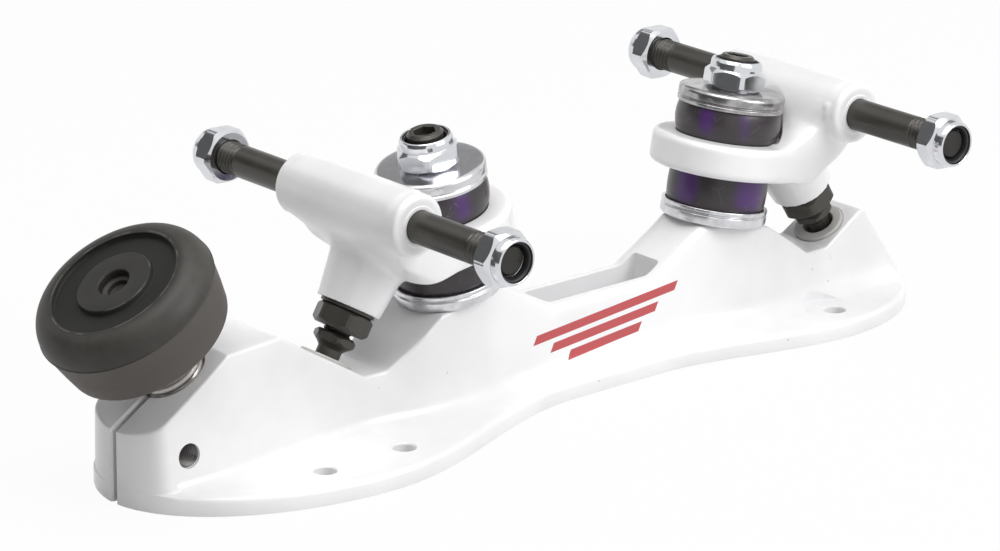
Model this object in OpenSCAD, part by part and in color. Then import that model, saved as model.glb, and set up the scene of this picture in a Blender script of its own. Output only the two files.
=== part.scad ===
// Roller skate plate with two steerable trucks and a clamped toe stop.
// It lies sole down, as photographed: the boot face is z = 0, +X points to the toe, and the trucks stand up.
// Each truck is drawn in its own end frame: u runs outward from the axle, z up from the boot face.

/* [Plate] */
// Distance between the two axles
wheelbase = 143; // [138:1:156]
// Height of the axles above the boot face
axle_height = 57; // [56:0.5:60]
// Distance from the front axle to the tip of the nose
nose_reach = 72.3; // [70:0.1:75]
// Distance from the rear axle to the end of the heel
heel_reach = 34.2; // [32:0.1:38]
// Width of the flange at the ball of the foot
toe_w = 70.2; // [66:0.2:76]
// Width of the flange at the waist
waist_w = 31.8; // [30:0.2:38]
// Width of the flange at the heel
heel_w = 52.4; // [49:0.2:60]
// Thickness of the flange
flange_t = 4.5; // [4:0.1:6]
// Rounding of the flange's upper edge
flange_edge_r = 1.4; // [0.5:0.1:2]
// Radius of the sweep from the flange up into the rib, in the front half
rib_fillet = 3.4; // [2:0.2:5]
// Radius of that sweep in the rear half
heel_fillet = 6; // [4:0.2:7]
// Width of the rib along the middle of the plate, at its reference height
rib_w = 16.4; // [15.6:0.2:18]
// Width of the rib at the nose clamp
nose_w = 25.4; // [24:0.2:28]
// Width of the rib under the kingpins
king_w = 21.2; // [19:0.2:24]
// Sideways lean of the rib's walls, in mm per mm of height
rib_draft = 0.06; // [0.03:0.01:0.1]
// Rounding of the rib's upper edges at the blocks and the nose
rib_edge_r = 0.8; // [0.5:0.1:1.2]
// Rounding of the rib's upper edges between the kingpin blocks
mid_edge_r = 1.8; // [0.8:0.1:2]
// Height of the rib in the middle of the plate
mid_h = 21.7; // [20:0.1:24]
// Height of the flat between kingpin block and pivot block
valley_h = 17.4; // [16:0.1:18]
// Length of that flat
valley_l = 9.2; // [7:0.1:11]
// Slope of the kingpin block's outer face
block_slope = 34; // [31:1:38]
// Slope of the kingpin block's inner face
inner_slope = 32; // [29:1:36]
// Height of the ridge over the front pivot
front_ridge_h = 33.4; // [31:0.2:34]
// Height of the ridge over the rear pivot
rear_ridge_h = 25.4; // [24:0.2:27]
// Slope of the rib's end at the heel
heel_slope = 56; // [54:1:62]
// Width of the lightening pocket
pocket_w = 9.6; // [7:0.2:10]
// Distance from mid wheelbase to the pocket's front end
pocket_front = 15.4; // [10:0.2:17]
// Distance from mid wheelbase to the pocket's rear end
pocket_rear = 21.4; // [12:0.2:22.4]
// Floor left under the lightening pocket
pocket_floor = 6; // [4:0.5:9]

/* [Boot holes] */
// Diameter of the boot mounting holes
boot_hole_d = 5.5; // [4:0.1:6.5]
// Spacing of the front holes along the plate
front_hole_dx = 23.8; // [20:0.2:28]
// Spacing of the front holes across the plate
front_hole_dy = 47.6; // [44:0.2:50]
// Distance from the front axle to the middle of the front holes
front_hole_u = 17.6; // [15:0.2:21]
// Spacing of the rear holes across the plate
rear_hole_dy = 35.4; // [34:0.2:40]
// Distance from the rear axle inward to the rear holes
rear_hole_u = 1.2; // [0:0.2:4]
// Diameter of the spot faces round the rear holes
spot_d = 15.6; // [12:0.2:16]

/* [Kingpin and cushions] */
// Lean of the kingpins outward
king_tilt = 10.6; // [9.6:0.1:12]
// Distance from the axle back to the kingpin, at its platform
king_back = 28; // [28:0.2:30]
// Height of the platform at the kingpin
platform_h = 30; // [29:0.2:31]
// Length of the platform
platform_l = 20.4; // [18:0.2:22]
// Diameter of the kingpin
king_d = 9.5; // [8:0.1:10]
// Depth of the kingpin's thread in the plate
king_depth = 22; // [16:0.5:24]
// Size of the hex socket in the kingpin's top
king_socket_af = 5; // [3:0.1:5.6]
// Diameter of the cup washers
washer_d = 26.8; // [26:0.2:28]
// Thickness of the cup washers
washer_t = 1.6; // [1.2:0.1:2]
// Height of the cup washers over their turned lip
washer_h = 4.2; // [3:0.1:4.6]
// Diameter of the cushions
cushion_d = 24.4; // [23:0.2:24.6]
// Height of each cushion
cushion_h = 12.8; // [12.4:0.1:13.4]
// Bore of the cushions and cup washers over the kingpin, beyond its diameter
king_clear = 0.4; // [0.2:0.05:0.8]
// Size of the kingpins' hex nuts
king_nut_af = 14.2; // [13.4:0.1:15.4]
// Height of those nuts
king_nut_h = 7.6; // [7:0.1:9]
// Part of that height that is hexagonal
king_nut_hex_h = 5.1; // [4.4:0.1:5.8]
// Length of kingpin above its nut
king_proud = 1; // [0.4:0.1:2]

/* [Trucks] */
// Diameter of the sleeve that holds the axle
sleeve_d = 15.2; // [14:0.2:17]
// Length of the sleeve
sleeve_l = 45.4; // [42:0.2:50]
// Outside diameter of the cushion ring
ring_d = 36.2; // [35:0.2:37.4]
// Height of the cushion ring
ring_h = 9.2; // [8.4:0.1:11]
// Web in the ring between the two cushions
ring_web = 4.5; // [3.5:0.1:6]
// Hole in that web round the kingpin
ring_hole_d = 13.4; // [13:0.1:14.4]
// Room between cushion and ring
cushion_clear = 0.4; // [0.3:0.05:0.6]
// Diameter of the axles
axle_d = 8; // [7:0.1:8.5]
// Distance over the outer faces of the axle nuts
axle_span = 113.4; // [110:0.2:120]
// Size of the hex nuts on the axles
nut_af = 13; // [12.5:0.1:14]
// Height of those nuts
nut_h = 8; // [7:0.1:9]
// Part of that height that is hexagonal
nut_hex_h = 5.4; // [4.5:0.1:6]
// Distance of the axle's end inside the nut's outer face
axle_recess = 1; // [0.5:0.1:2]

/* [Pivots] */
// Lean of the pivot studs and slope of the pivot faces
pivot_tilt = 31; // [30:0.5:33]
// Distance from the axle out to the middle of the pivot cup's mouth
pivot_u = 10; // [9.4:0.1:10.6]
// Distance from the pivot face to the end of the truck's boss
boss_gap = 13.6; // [13:0.1:14.5]
// Diameter of the boss at its end
boss_d = 15.8; // [15:0.1:17]
// Widening of the boss upwards, in mm of diameter per mm
boss_flare = 0.27; // [0.2:0.01:0.32]
// Diameter of the stud's thread
stud_d = 7; // [6:0.1:8]
// Depth of the stud's thread in the boss
stud_depth = 15; // [11:0.5:16]
// Thickness of the stud's washer
stud_washer_t = 0.8; // [0.6:0.1:1.2]
// Height of the stud's lock nut
lock_nut_h = 5.2; // [4.6:0.1:5.6]
// Size of the stud's own hex
stud_hex_af = 9.6; // [8.6:0.1:11]
// Height of the stud's own hex
stud_hex_h = 2.6; // [2:0.1:3]
// Diameter of the stud's neck
neck_d = 6; // [5:0.1:6.6]
// Diameter of the stud's ball end
ball_d = 8; // [7.4:0.1:8.4]
// Depth of the ball's centre under the pivot face
ball_depth = 4.2; // [3.6:0.1:4.6]
// Diameter of the pivot cup's flange
cup_flange_d = 13; // [12.6:0.1:14]
// Height of the pivot cup's flange above the face
cup_flange_t = 0.8; // [0.5:0.1:1.2]
// Diameter of the pivot cup's body
cup_d = 11.4; // [10.8:0.1:11.8]
// Running clearance of the ball in its cup
ball_clear = 0.06; // [0.03:0.01:0.1]

/* [Toe stop] */
// Slope of the nose, and lean of the toe stop
nose_slope = 32.6; // [31:0.2:34.6]
// Height of the nose at its tip
nose_h = 17.6; // [17:0.1:18.4]
// Distance from the nose tip up the slope to the stem
stem_up = 20; // [19.6:0.1:21]
// Diameter of the stem's thread
stem_d = 15.9; // [14:0.1:16.4]
// Depth of the stem in the clamp
stem_depth = 18; // [15:0.5:19]
// Travel by which the toe stop can still be screwed in
stop_travel = 8; // [5:0.5:8]
// Running clearance of the stem's thread
stem_clear = 0.06; // [0.03:0.01:0.1]
// Width of the clamp's slit
slit_w = 1.5; // [1:0.1:2]
// Diameter of the pinch screw
pinch_d = 5.5; // [5:0.1:6]
// Distance from the nose tip back to the pinch screw
pinch_back = 11.8; // [11:0.1:12.4]
// Height of the pinch screw
pinch_z = 12.4; // [11.8:0.1:12.8]
// Diameter of the pinch screw's head
pinch_head_d = 9.6; // [9:0.1:10]
// Height of the pinch screw's head
pinch_head_h = 5.4; // [5:0.1:6]
// Outside diameter of the toe stop's rubber
stop_d = 44; // [41:0.2:47]
// Diameter of the rubber at its base
stop_base_d = 39.8; // [36:0.2:41]
// Diameter of the rubber's flat face
stop_face_d = 33; // [32.4:0.2:36]
// Height of the rubber
stop_h = 18.6; // [17:0.2:20]
// Height of the rubber's parting line over its base
stop_part_h = 12.2; // [10:0.2:13]
// Diameter of the sunken ring in the face
stop_ring_d = 31.2; // [28:0.2:31.6]
// Depth of the sunken ring
stop_ring_depth = 1; // [0.6:0.1:1.6]
// Diameter of the raised middle of the face
stop_hub_d = 18.8; // [16:0.2:22]
// Diameter of the hole in the middle of the face
stop_hole_d = 7.6; // [6:0.1:8]
// Distance from the nose's slope up the stem to the rubber
stop_rise = 10.8; // [10.6:0.1:12]
// Diameter of the steel washer under the rubber
stop_washer_d = 25; // [22:0.2:28]
// Thickness of that washer
stop_washer_t = 2; // [1.6:0.1:2.4]

/* [Hidden] */
$fn = 64;
eps = 0.02;
thread_fit = 0.02;
half_wb = wheelbase / 2;
nose_x = half_wb + nose_reach;
heel_x = -half_wb - heel_reach;

// The kingpin stack, counted up the kingpin from its platform
web_q = washer_t + cushion_h;
ring_q = web_q + ring_web / 2;
upper_q = web_q + ring_web + cushion_h;
nut_q = upper_q + washer_t;
king_top_q = nut_q + king_nut_h + king_proud;
insert_seat = 0.3;

// The pivot, counted from the face up the stud to the truck's boss
pivot_z = valley_h + (pivot_u - valley_l / 2) * tan(pivot_tilt);
stud_washer_k = boss_gap - stud_washer_t;
lock_nut_k = stud_washer_k - lock_nut_h;
stud_hex_k = lock_nut_k - 1 - stud_hex_h;
cup_body_h = ball_depth + ball_d / 2 + 2;
cup_seat = 0.3;

// The toe stop, counted up the stem from the nose's slope
stem_x = nose_x - stem_up * cos(nose_slope);
stem_z = nose_h + stem_up * sin(nose_slope);
stem_bore = stem_depth + stop_travel + 0.6;
pinch_x = nose_x - pinch_back;

// Height of the rib's walls where rib_w and nose_w are measured, and reach of the nose's round corners
rib_ref = 20;
nose_soft = 3;

function smooth(t) = let(c = min(max(t, 0), 1)) c * c * (3 - 2 * c);
function mix(a, b, t) = a + (b - a) * t;
function soft_min(a, b, reach) = let(h = min(max(0.5 + (b - a) / reach / 2, 0), 1)) mix(b, a, h) - reach * h * (1 - h);

// Half width of the flange at x: a round heel, an S-curve to the waist, another to the ball, a blunt toe
toe_x = half_wb + 16.5;
heel_mid_x = -half_wb + 3.5;
waist_rear_x = -12;
waist_front_x = 16;
function flange_half(x) =
    x < heel_mid_x ? heel_w / 2 * sqrt(max(0, 1 - pow((heel_mid_x - x) / (heel_mid_x - heel_x), 2)))
    : x < waist_rear_x ? mix(heel_w, waist_w, smooth((x - heel_mid_x) / (waist_rear_x - heel_mid_x))) / 2
    : x < toe_x ? mix(waist_w, toe_w, smooth((x - waist_front_x) / (toe_x - waist_front_x))) / 2
    : toe_w / 2 * sqrt(max(0, 1 - pow((x - toe_x) / (nose_x - toe_x), 2)));

// Half width of the rib at x and height z: it leans inward, widens towards the nose and swells under the kingpins
function swell(u) = smooth((u + 44) / 22) * (1 - smooth((u + 9.5) / 6));
function rib_half(x, z) = soft_min(
    mix(rib_w, nose_w, smooth((x - half_wb - 3.5) / (nose_reach - 19))) / 2
    + (king_w - rib_w) / 2 * swell(abs(x) - half_wb) + (rib_ref - z) * rib_draft,
    x < 0 ? 0.92 * flange_half(x) : flange_half(x) - 0.25 - 0.012 * z, nose_soft);
function fillet_at(x) = mix(heel_fillet, rib_fillet, smooth((x + 10) / 60));
function edge_at(x) = mix(mid_edge_r, rib_edge_r, smooth((abs(x) - half_wb + king_back + 12) / 8));

// The rib's top line from the heel to the nose, as [x, z]
function end_u(u, front) = front ? half_wb + u : -half_wb - u;
king_rise = tan(king_tilt);
plat_in = [-king_back - platform_l / 2, platform_h + platform_l / 2 * king_rise];
plat_out = [-king_back + platform_l / 2, platform_h - platform_l / 2 * king_rise];
block_foot_u = plat_out[0] + (plat_out[1] - valley_h) / tan(block_slope);
inner_foot_u = plat_in[0] - (plat_in[1] - mid_h) / tan(inner_slope);
function ridge_u(h) = valley_l / 2 + (h - valley_h) / tan(pivot_tilt);
function end_line(ridge_h) = [
    [inner_foot_u, mid_h], plat_in, plat_out, [block_foot_u, valley_h], [valley_l / 2, valley_h],
    [ridge_u(ridge_h), ridge_h]];
front_line = [for (p = end_line(front_ridge_h)) [half_wb + p[0], p[1]]];
rear_line = [for (i = [5:-1:0]) let(p = end_line(rear_ridge_h)[i]) [-half_wb - p[0], p[1]]];
slope_top_x = nose_x - (front_ridge_h - nose_h) / tan(nose_slope);
heel_foot_x = max(heel_x + 1, rear_line[0][0] - (rear_ridge_h - flange_t) / tan(heel_slope));
top_line = concat([[heel_x - 1, flange_t + 0.05], [heel_foot_x, flange_t + 0.05]], rear_line, front_line,
    [[slope_top_x, front_ridge_h], [nose_x, nose_h]]);

// Each corner of the top line is eased by a short curve through three points
ease = 1.6;
function toward(p, q, d) = p + (q - p) * d / norm(q - p);
function eased(line) = concat([line[0]], [
    for (i = [1:len(line) - 2])
        let(a = toward(line[i], line[i - 1], ease), b = toward(line[i], line[i + 1], ease))
            for (k = [0:0.5:1]) mix(mix(a, line[i], k), mix(line[i], b, k), k)],
    [line[len(line) - 1]]);
top_path = eased(top_line);
function top_z(x) = lookup(x, top_path);

// Stations along the plate: the top line's own points, finer ones round the heel and toe, and a fill
heel_end_x = mix(heel_mid_x, heel_x, 0.985);
nose_end_x = mix(toe_x, nose_x, 0.998);
function sorted(v) = len(v) < 2 ? v : let(p = v[floor(len(v) / 2)]) concat(
    sorted([for (x = v) if (x < p) x]), [p], sorted([for (x = v) if (x > p) x]));
station_step = 7;
raw_stations = sorted(concat(
    [heel_end_x, nose_end_x],
    [for (p = top_path) if (p[0] > heel_end_x + 0.3 && p[0] < nose_end_x - 0.3) p[0]],
    [for (a = [8:8:72]) mix(heel_mid_x, heel_x, sin(a))],
    [for (a = [8:8:80]) mix(toe_x, nose_x, sin(a))],
    [for (x = [heel_mid_x:station_step:toe_x]) x]));
stations = [for (i = [0:len(raw_stations) - 1])
    if (i == 0 || i == len(raw_stations) - 1 || raw_stations[i] - raw_stations[i - 1] > 0.3) raw_stations[i]];

// Right half of the plate's section at x, from the sole's edge round to the rib's top edge
fillet_steps = 4;
function half_section(x) =
    let(f = flange_half(x), h = top_z(x), w = rib_half(x, flange_t))
    let(rt = min(edge_at(x), (h - flange_t) * 0.3), re = min(flange_edge_r, (f - w) * 0.4))
    let(r = max(0.05, min(fillet_at(x), f - re - w - 0.05, (h - flange_t - rt) * 0.9)))
    let(wall = rib_half(x, flange_t + r), wt = rib_half(x, h))
    concat(
        [[f, 0], [f, flange_t - re], [f - re * 0.293, flange_t - re * 0.293], [f - re, flange_t]],
        [for (i = [0:fillet_steps]) let(a = 90 * i / fillet_steps)
            [wall + (w + r - wall) * (1 - sin(a)), flange_t + r * (1 - cos(a))]],
        [[rib_half(x, h - rt), h - rt], [wt - rt * 0.293, h - rt * 0.293], [wt - rt, h]]);
function section(x) = let(s = half_section(x)) concat(
    [for (p = s) [x, p[0], p[1]]], [for (i = [len(s) - 1:-1:0]) [x, -s[i][0], s[i][1]]]);

// A skin over a row of closed sections with equal numbers of points
module loft(sections) {
    n = len(sections[0]);
    m = len(sections);
    polyhedron(
        [for (s = sections) for (p = s) p],
        concat(
            [[for (j = [0:n - 1]) j]],
            [for (i = [0:m - 2]) for (j = [0:n - 1]) let(k = (j + 1) % n, a = i * n, b = a + n)
                each [[a + j, b + k, a + k], [a + j, b + j, b + k]]],
            [[for (j = [n - 1:-1:0]) (m - 1) * n + j]]));
}

// Places children in the end frame of the front or rear truck
module at_end(front) {
    if (front) translate([half_wb, 0, 0]) children();
    else mirror([1, 0, 0]) translate([half_wb, 0, 0]) children();
}

// Stands children on the kingpin's platform, along the kingpin
module on_kingpin(q = 0) {
    translate([-king_back, 0, platform_h]) rotate([0, king_tilt, 0]) translate([0, 0, q]) children();
}

// Stands children on the pivot face, up the stud
module on_pivot(k = 0) {
    translate([pivot_u, 0, pivot_z]) rotate([0, -pivot_tilt, 0]) translate([0, 0, k]) children();
}

// Stands children on the nose's slope, up the toe stop's stem
module on_stem(q = 0) {
    translate([stem_x, 0, stem_z]) rotate([0, nose_slope, 0]) translate([0, 0, q]) children();
}

// A cylinder along +Y from y0 to y1
module bar_y(d, y0, y1) {
    translate([0, y1, 0]) rotate([90, 0, 0]) cylinder(d = d, h = y1 - y0);
}

// A hexagon across its flats
module hexagon(af, h) {
    cylinder(d = af / cos(30), h = h, $fn = 6);
}

// Cuts a hex bar's corners back to a round chamfer at its top, its bottom or both
module chamfered_hex(af, h, top = true, bottom = true) {
    r = af / cos(30) / 2 + 0.2;
    c = 0.14 * af / 2;
    lo = bottom ? r - 1.6 * c : r;
    hi = top ? r - 1.6 * c : r;
    intersection() {
        hexagon(af, h);
        rotate_extrude() polygon([[0, 0], [lo, 0], [r, bottom ? c : 0], [r, top ? h - c : h], [hi, h], [0, h]]);
    }
}

// A lock nut: a hex below, a round collar above that holds the nylon ring
module lock_nut(bore, af, h, hex_h) {
    r = af / 2 - 0.25;
    difference() {
        union() {
            chamfered_hex(af, hex_h);
            rotate_extrude() polygon([[0, 1], [r, 1], [r, h - 0.9], [r - 0.25, h - 0.3], [r - 0.9, h], [0, h]]);
        }
        translate([0, 0, -1]) cylinder(d = bore + 2 * thread_fit, h = h + 2);
        translate([0, 0, hex_h]) cylinder(d = af - 3, h = h);
    }
}

// The nylon ring inside a lock nut
module lock_insert(bore, af, h, hex_h) {
    translate([0, 0, hex_h]) difference() {
        cylinder(d = af - 3 - 2 * thread_fit, h = h - hex_h - insert_seat);
        translate([0, 0, -1]) cylinder(d = bore + 2 * thread_fit, h = h + 2);
    }
}

// A pressed cup washer with its lip turned up
module cup_washer() {
    r = washer_d / 2;
    lip = 0.9;
    difference() {
        rotate_extrude() polygon([[0, 0], [r - 1.3, 0], [r - 0.5, 0.3], [r - 0.1, 0.9], [r, 1.6], [r, washer_h - 0.3],
            [r - 0.3, washer_h], [r - lip + 0.1, washer_h], [r - lip, washer_h - 0.2], [r - lip, washer_t], [0, washer_t]]);
        translate([0, 0, -1]) cylinder(d = king_d + king_clear, h = washer_h + 2);
    }
}

// A cushion: a plain urethane barrel with softened rims
module cushion() {
    r = cushion_d / 2;
    soft = 0.8;
    difference() {
        rotate_extrude() polygon([[0, 0], [r - soft, 0], [r, soft], [r, cushion_h - soft], [r - soft, cushion_h], [0, cushion_h]]);
        translate([0, 0, -1]) cylinder(d = king_d + king_clear, h = cushion_h + 2);
    }
}

// Base plate
module base_plate() {
    color("white") difference() {
        loft([for (x = stations) section(x)]);
        lightening_pocket();
        boot_holes();
        toe_clamp_cuts();
        for (front = [true, false]) at_end(front) {
            on_kingpin(-king_depth) cylinder(d = king_d + 2 * thread_fit, h = king_depth + 10);
            on_pivot(-cup_body_h) cylinder(d = cup_d + 2 * thread_fit, h = cup_body_h + 8);
            on_pivot(-cup_seat) cylinder(d = cup_flange_d + 0.6, h = cup_seat + 8);
        }
    }
}

module lightening_pocket() {
    translate([-pocket_rear, -pocket_w / 2, pocket_floor]) cube([pocket_rear + pocket_front, pocket_w, 60]);
}

module boot_holes() {
    for (sx = [-1, 1], sy = [-1, 1])
        translate([half_wb + front_hole_u + sx * front_hole_dx / 2, sy * front_hole_dy / 2, -1])
            cylinder(d = boot_hole_d, h = 40);
    for (sy = [-1, 1])
        translate([-half_wb + rear_hole_u, sy * rear_hole_dy / 2, 0]) {
            translate([0, 0, -1]) cylinder(d = boot_hole_d, h = 40);
            translate([0, 0, flange_t]) cylinder(d = spot_d, h = 40);
        }
}

module toe_clamp_cuts() {
    on_stem(-stem_bore) cylinder(d = stem_d + 2 * stem_clear, h = stem_bore + 20);
    translate([stem_x - stem_z * tan(nose_slope) + stem_d / 2, -slit_w / 2, -1]) cube([80, slit_w, 80]);
    translate([pinch_x, 0, pinch_z]) {
        bar_y(pinch_d + 2 * thread_fit, -nose_w, nose_w);
        bar_y(pinch_head_d + 0.4, -nose_w, -nose_w / 2 + pinch_head_h);
    }
}

// Clamp screw across the nose, put in from the far side
module pinch_screw() {
    color("dimgray") translate([pinch_x, 0, pinch_z]) difference() {
        union() {
            bar_y(pinch_d, -nose_w / 2 + pinch_head_h - eps, nose_w / 2 - 5);
            bar_y(pinch_head_d, -nose_w / 2, -nose_w / 2 + pinch_head_h);
        }
        translate([0, -nose_w / 2 + 3, 0]) rotate([90, 0, 0]) hexagon(5, 8);
    }
}

// Toe stop
module toe_stop_rubber() {
    r = stop_d / 2;
    base = stop_base_d / 2;
    face = stop_face_d / 2;
    color("#3c3a36") on_stem(stop_rise) difference() {
        rotate_extrude($fn = 96) polygon(concat(
            [[0, 0], [base - 1.4, 0], [base - 0.4, 0.4], [base, 1.4], [mix(base, r, 0.55), 0.45 * stop_part_h]],
            [for (a = [0:15:90]) [face + (r - face) * cos(a), stop_part_h + (stop_h - stop_part_h) * sin(a)]],
            [[0, stop_h]]));
        translate([0, 0, stop_h - stop_ring_depth]) difference() {
            cylinder(d = stop_ring_d, h = 4);
            translate([0, 0, -1]) cylinder(d = stop_hub_d, h = 6);
        }
        translate([0, 0, -1]) cylinder(d = stem_d + 2 * thread_fit, h = stop_h - 5);
        cylinder(d = stop_hole_d, h = stop_h + 2);
    }
}

module toe_stop_stem() {
    color("silver") on_stem(-stem_depth) cylinder(d = stem_d, h = stem_depth + stop_rise + stop_h - 6.5);
}

module toe_stop_washer() {
    r = stop_washer_d / 2;
    color("silver") on_stem(stop_rise - stop_washer_t) difference() {
        rotate_extrude() polygon([[0, 0], [r - 0.6, 0], [r, 0.6], [r, stop_washer_t], [0, stop_washer_t]]);
        translate([0, 0, -1]) cylinder(d = stem_d + 2 * thread_fit, h = stop_washer_t + 2);
    }
}

// Kingpin and its stack
module kingpin(front) {
    color("#46443e") at_end(front) on_kingpin() difference() {
        translate([0, 0, 1 - king_depth]) cylinder(d = king_d, h = king_top_q + king_depth - 1);
        translate([0, 0, king_top_q - 4]) hexagon(king_socket_af, 5);
    }
}

// The front nut ends its turn with a corner to the side
module kingpin_nut(front) {
    color("silver") at_end(front) on_kingpin(nut_q) rotate([0, 0, front ? -11 : 0])
        lock_nut(king_d, king_nut_af, king_nut_h, king_nut_hex_h);
}

module kingpin_nut_insert(front) {
    color("#222222") at_end(front) on_kingpin(nut_q) lock_insert(king_d, king_nut_af, king_nut_h, king_nut_hex_h);
}

module lower_washer(front) {
    color("silver") at_end(front) on_kingpin() cup_washer();
}

module upper_washer(front) {
    color("silver") at_end(front) on_kingpin(nut_q) mirror([0, 0, 1]) cup_washer();
}

module lower_cushion(front) {
    color("#3a2266") at_end(front) on_kingpin(washer_t) cushion();
}

module upper_cushion(front) {
    color("#3a2266") at_end(front) on_kingpin(web_q + ring_web) cushion();
}

// Pivot cup: a plastic socket with a flange that lies in a spot face on the pivot slope
module pivot_cup(front) {
    ball_r = ball_d / 2 + ball_clear;
    color("darkgray") at_end(front) on_pivot() difference() {
        union() {
            translate([0, 0, 0.3 - cup_body_h]) cylinder(d = cup_d, h = cup_body_h - 0.3 + eps);
            rotate_extrude() polygon([[0, -cup_seat], [cup_flange_d / 2, -cup_seat], [cup_flange_d / 2, cup_flange_t * 0.5],
                [cup_flange_d / 2 - cup_flange_t * 0.5, cup_flange_t], [0, cup_flange_t]]);
        }
        translate([0, 0, -ball_depth]) {
            sphere(r = ball_r);
            cylinder(r = ball_r, h = ball_depth + 4);
        }
    }
}

// Truck: sleeve, cushion ring, arm between them, and the skirt down to the pivot boss
module truck(front) {
    color("white") at_end(front) difference() {
        union() {
            truck_sleeve();
            truck_ring();
            truck_arm();
            truck_skirt();
        }
        truck_bores();
    }
}

module truck_sleeve() {
    r = sleeve_d / 2;
    round_r = 1.2;
    translate([0, 0, axle_height]) rotate([90, 0, 0]) rotate_extrude() polygon([
        [0, -sleeve_l / 2], [axle_d / 2 + 1.2, -sleeve_l / 2], [axle_d / 2 + 1.2, 0.4 - sleeve_l / 2],
        [r - round_r, 0.4 - sleeve_l / 2], [r - 0.35, 0.75 - sleeve_l / 2], [r, 0.4 + round_r - sleeve_l / 2],
        [r, sleeve_l / 2 - round_r - 0.4], [r - 0.35, sleeve_l / 2 - 0.75], [r - round_r, sleeve_l / 2 - 0.4],
        [axle_d / 2 + 1.2, sleeve_l / 2 - 0.4], [axle_d / 2 + 1.2, sleeve_l / 2], [0, sleeve_l / 2]]);
}

module truck_ring() {
    r = ring_d / 2;
    round_r = 1.6;
    on_kingpin(ring_q - ring_h / 2) rotate_extrude() polygon(concat(
        [[0, 0]],
        [for (a = [-90:30:0]) [r - round_r + round_r * cos(a), round_r + round_r * sin(a)]],
        [for (a = [0:30:90]) [r - round_r + round_r * cos(a), ring_h - round_r + round_r * sin(a)]],
        [[0, ring_h]]));
}

// The arm rises from two posts outside the ring's bore to the sleeve, between lower cheeks along the ring's sides
arm_post_r = 4.4;
crest_post_r = 3.8;
arm_half = sleeve_l / 2 - 5.4;
cheek_half = sleeve_l / 2 - 5.1;
module truck_arm() {
    hull() {
        on_kingpin(ring_q - ring_h / 2 + 0.4) for (sy = [-1, 1]) {
            translate([ring_d / 2 - 3.9, sy * 9.6, 0]) cylinder(r = crest_post_r, h = ring_h - 0.8, $fn = 32);
            translate([ring_d / 2 - 3, sy * (ring_d / 2 - arm_post_r - 2.4), 0]) cylinder(r = arm_post_r, h = 3, $fn = 32);
        }
        translate([0, 0, axle_height]) bar_y(sleeve_d - 1.4, -arm_half, arm_half, $fn = 32);
    }
    hull() {
        on_kingpin(ring_q - ring_h / 2 + 0.5) for (sy = [-1, 1])
            translate([5, sy * (ring_d / 2 - arm_post_r - 0.3), 0]) cylinder(r = arm_post_r, h = 3.3, $fn = 32);
        under_sleeve(7, cheek_half);
    }
}

module under_sleeve(d, half) {
    translate([-2, 0, axle_height - sleeve_d / 2 - 1.4]) bar_y(d, -half, half, $fn = 32);
}

// The boss flares up into the arm, and a web fills the corner under the sleeve
boss_l = 20;
module truck_skirt() {
    on_pivot(boss_gap) cylinder(d1 = boss_d, d2 = boss_d + boss_flare * boss_l, h = boss_l);
    hull() {
        translate([0, 0, axle_height]) bar_y(sleeve_d - 2.4, 3.2 - sleeve_l / 2, sleeve_l / 2 - 3.2, $fn = 32);
        under_sleeve(6.8, cheek_half - 0.1);
        on_pivot(boss_gap + 11.5) cylinder(d = boss_d + boss_flare * 11 - 1.3, h = 3, $fn = 32);
    }
}

module truck_bores() {
    translate([0, 0, axle_height]) bar_y(axle_d + 2 * thread_fit, -sleeve_l, sleeve_l);
    on_kingpin(ring_q) {
        cylinder(d = ring_hole_d, h = 4 * ring_h, center = true);
        translate([0, 0, ring_web / 2]) cylinder(d = cushion_d + 2 * cushion_clear, h = 60);
        translate([0, 0, -60 - ring_web / 2]) cylinder(d = cushion_d + 2 * cushion_clear, h = 60);
        translate([0, 0, ring_web / 2 + cushion_h - washer_h - 1]) cylinder(d = washer_d + 3, h = 60);
    }
    on_pivot(boss_gap - 1) cylinder(d = stud_d + 2 * thread_fit, h = stud_depth + 1);
}

// Axle, its two lock nuts and their nylon rings
axle_half = axle_span / 2;
module axle(front) {
    color("#46443e") at_end(front) translate([0, 0, axle_height])
        bar_y(axle_d, axle_recess - axle_half, axle_half - axle_recess);
}

module axle_end_pair(front) {
    at_end(front) for (side = [0, 180]) translate([0, 0, axle_height]) rotate([0, 0, side])
        translate([0, axle_half - nut_h, 0]) rotate([-90, 0, 0]) children();
}

module axle_nuts(front) {
    color("silver") axle_end_pair(front) lock_nut(axle_d, nut_af, nut_h, nut_hex_h);
}

module axle_nut_inserts(front) {
    color("#222222") axle_end_pair(front) lock_insert(axle_d, nut_af, nut_h, nut_hex_h);
}

// Pivot stud with its own hex, a waisted neck and a ball end
module pivot_stud(front) {
    color("#46443e") at_end(front) on_pivot() {
        translate([0, 0, stud_hex_k - eps]) cylinder(d = stud_d, h = boss_gap + stud_depth - 0.5 - stud_hex_k);
        translate([0, 0, stud_hex_k]) chamfered_hex(stud_hex_af, stud_hex_h, top = true, bottom = false);
        rotate_extrude() polygon([[0, -ball_depth], [neck_d / 2, -ball_depth], [neck_d / 2, stud_hex_k - 1.2],
            [neck_d / 2 + 0.5, stud_hex_k - 0.4], [neck_d / 2 + 1.2, stud_hex_k + eps], [0, stud_hex_k + eps]]);
        translate([0, 0, -ball_depth]) sphere(d = ball_d);
    }
}

module pivot_lock_nut(front) {
    color("#3c3a36") at_end(front) on_pivot(lock_nut_k) difference() {
        chamfered_hex(nut_af, lock_nut_h);
        translate([0, 0, -1]) cylinder(d = stud_d + 2 * thread_fit, h = lock_nut_h + 2);
    }
}

module pivot_washer(front) {
    color("#2a2926") at_end(front) on_pivot(stud_washer_k) difference() {
        cylinder(d = nut_af + 0.6, h = stud_washer_t);
        translate([0, 0, -1]) cylinder(d = stud_d + 2 * thread_fit, h = stud_washer_t + 2);
    }
}

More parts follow.
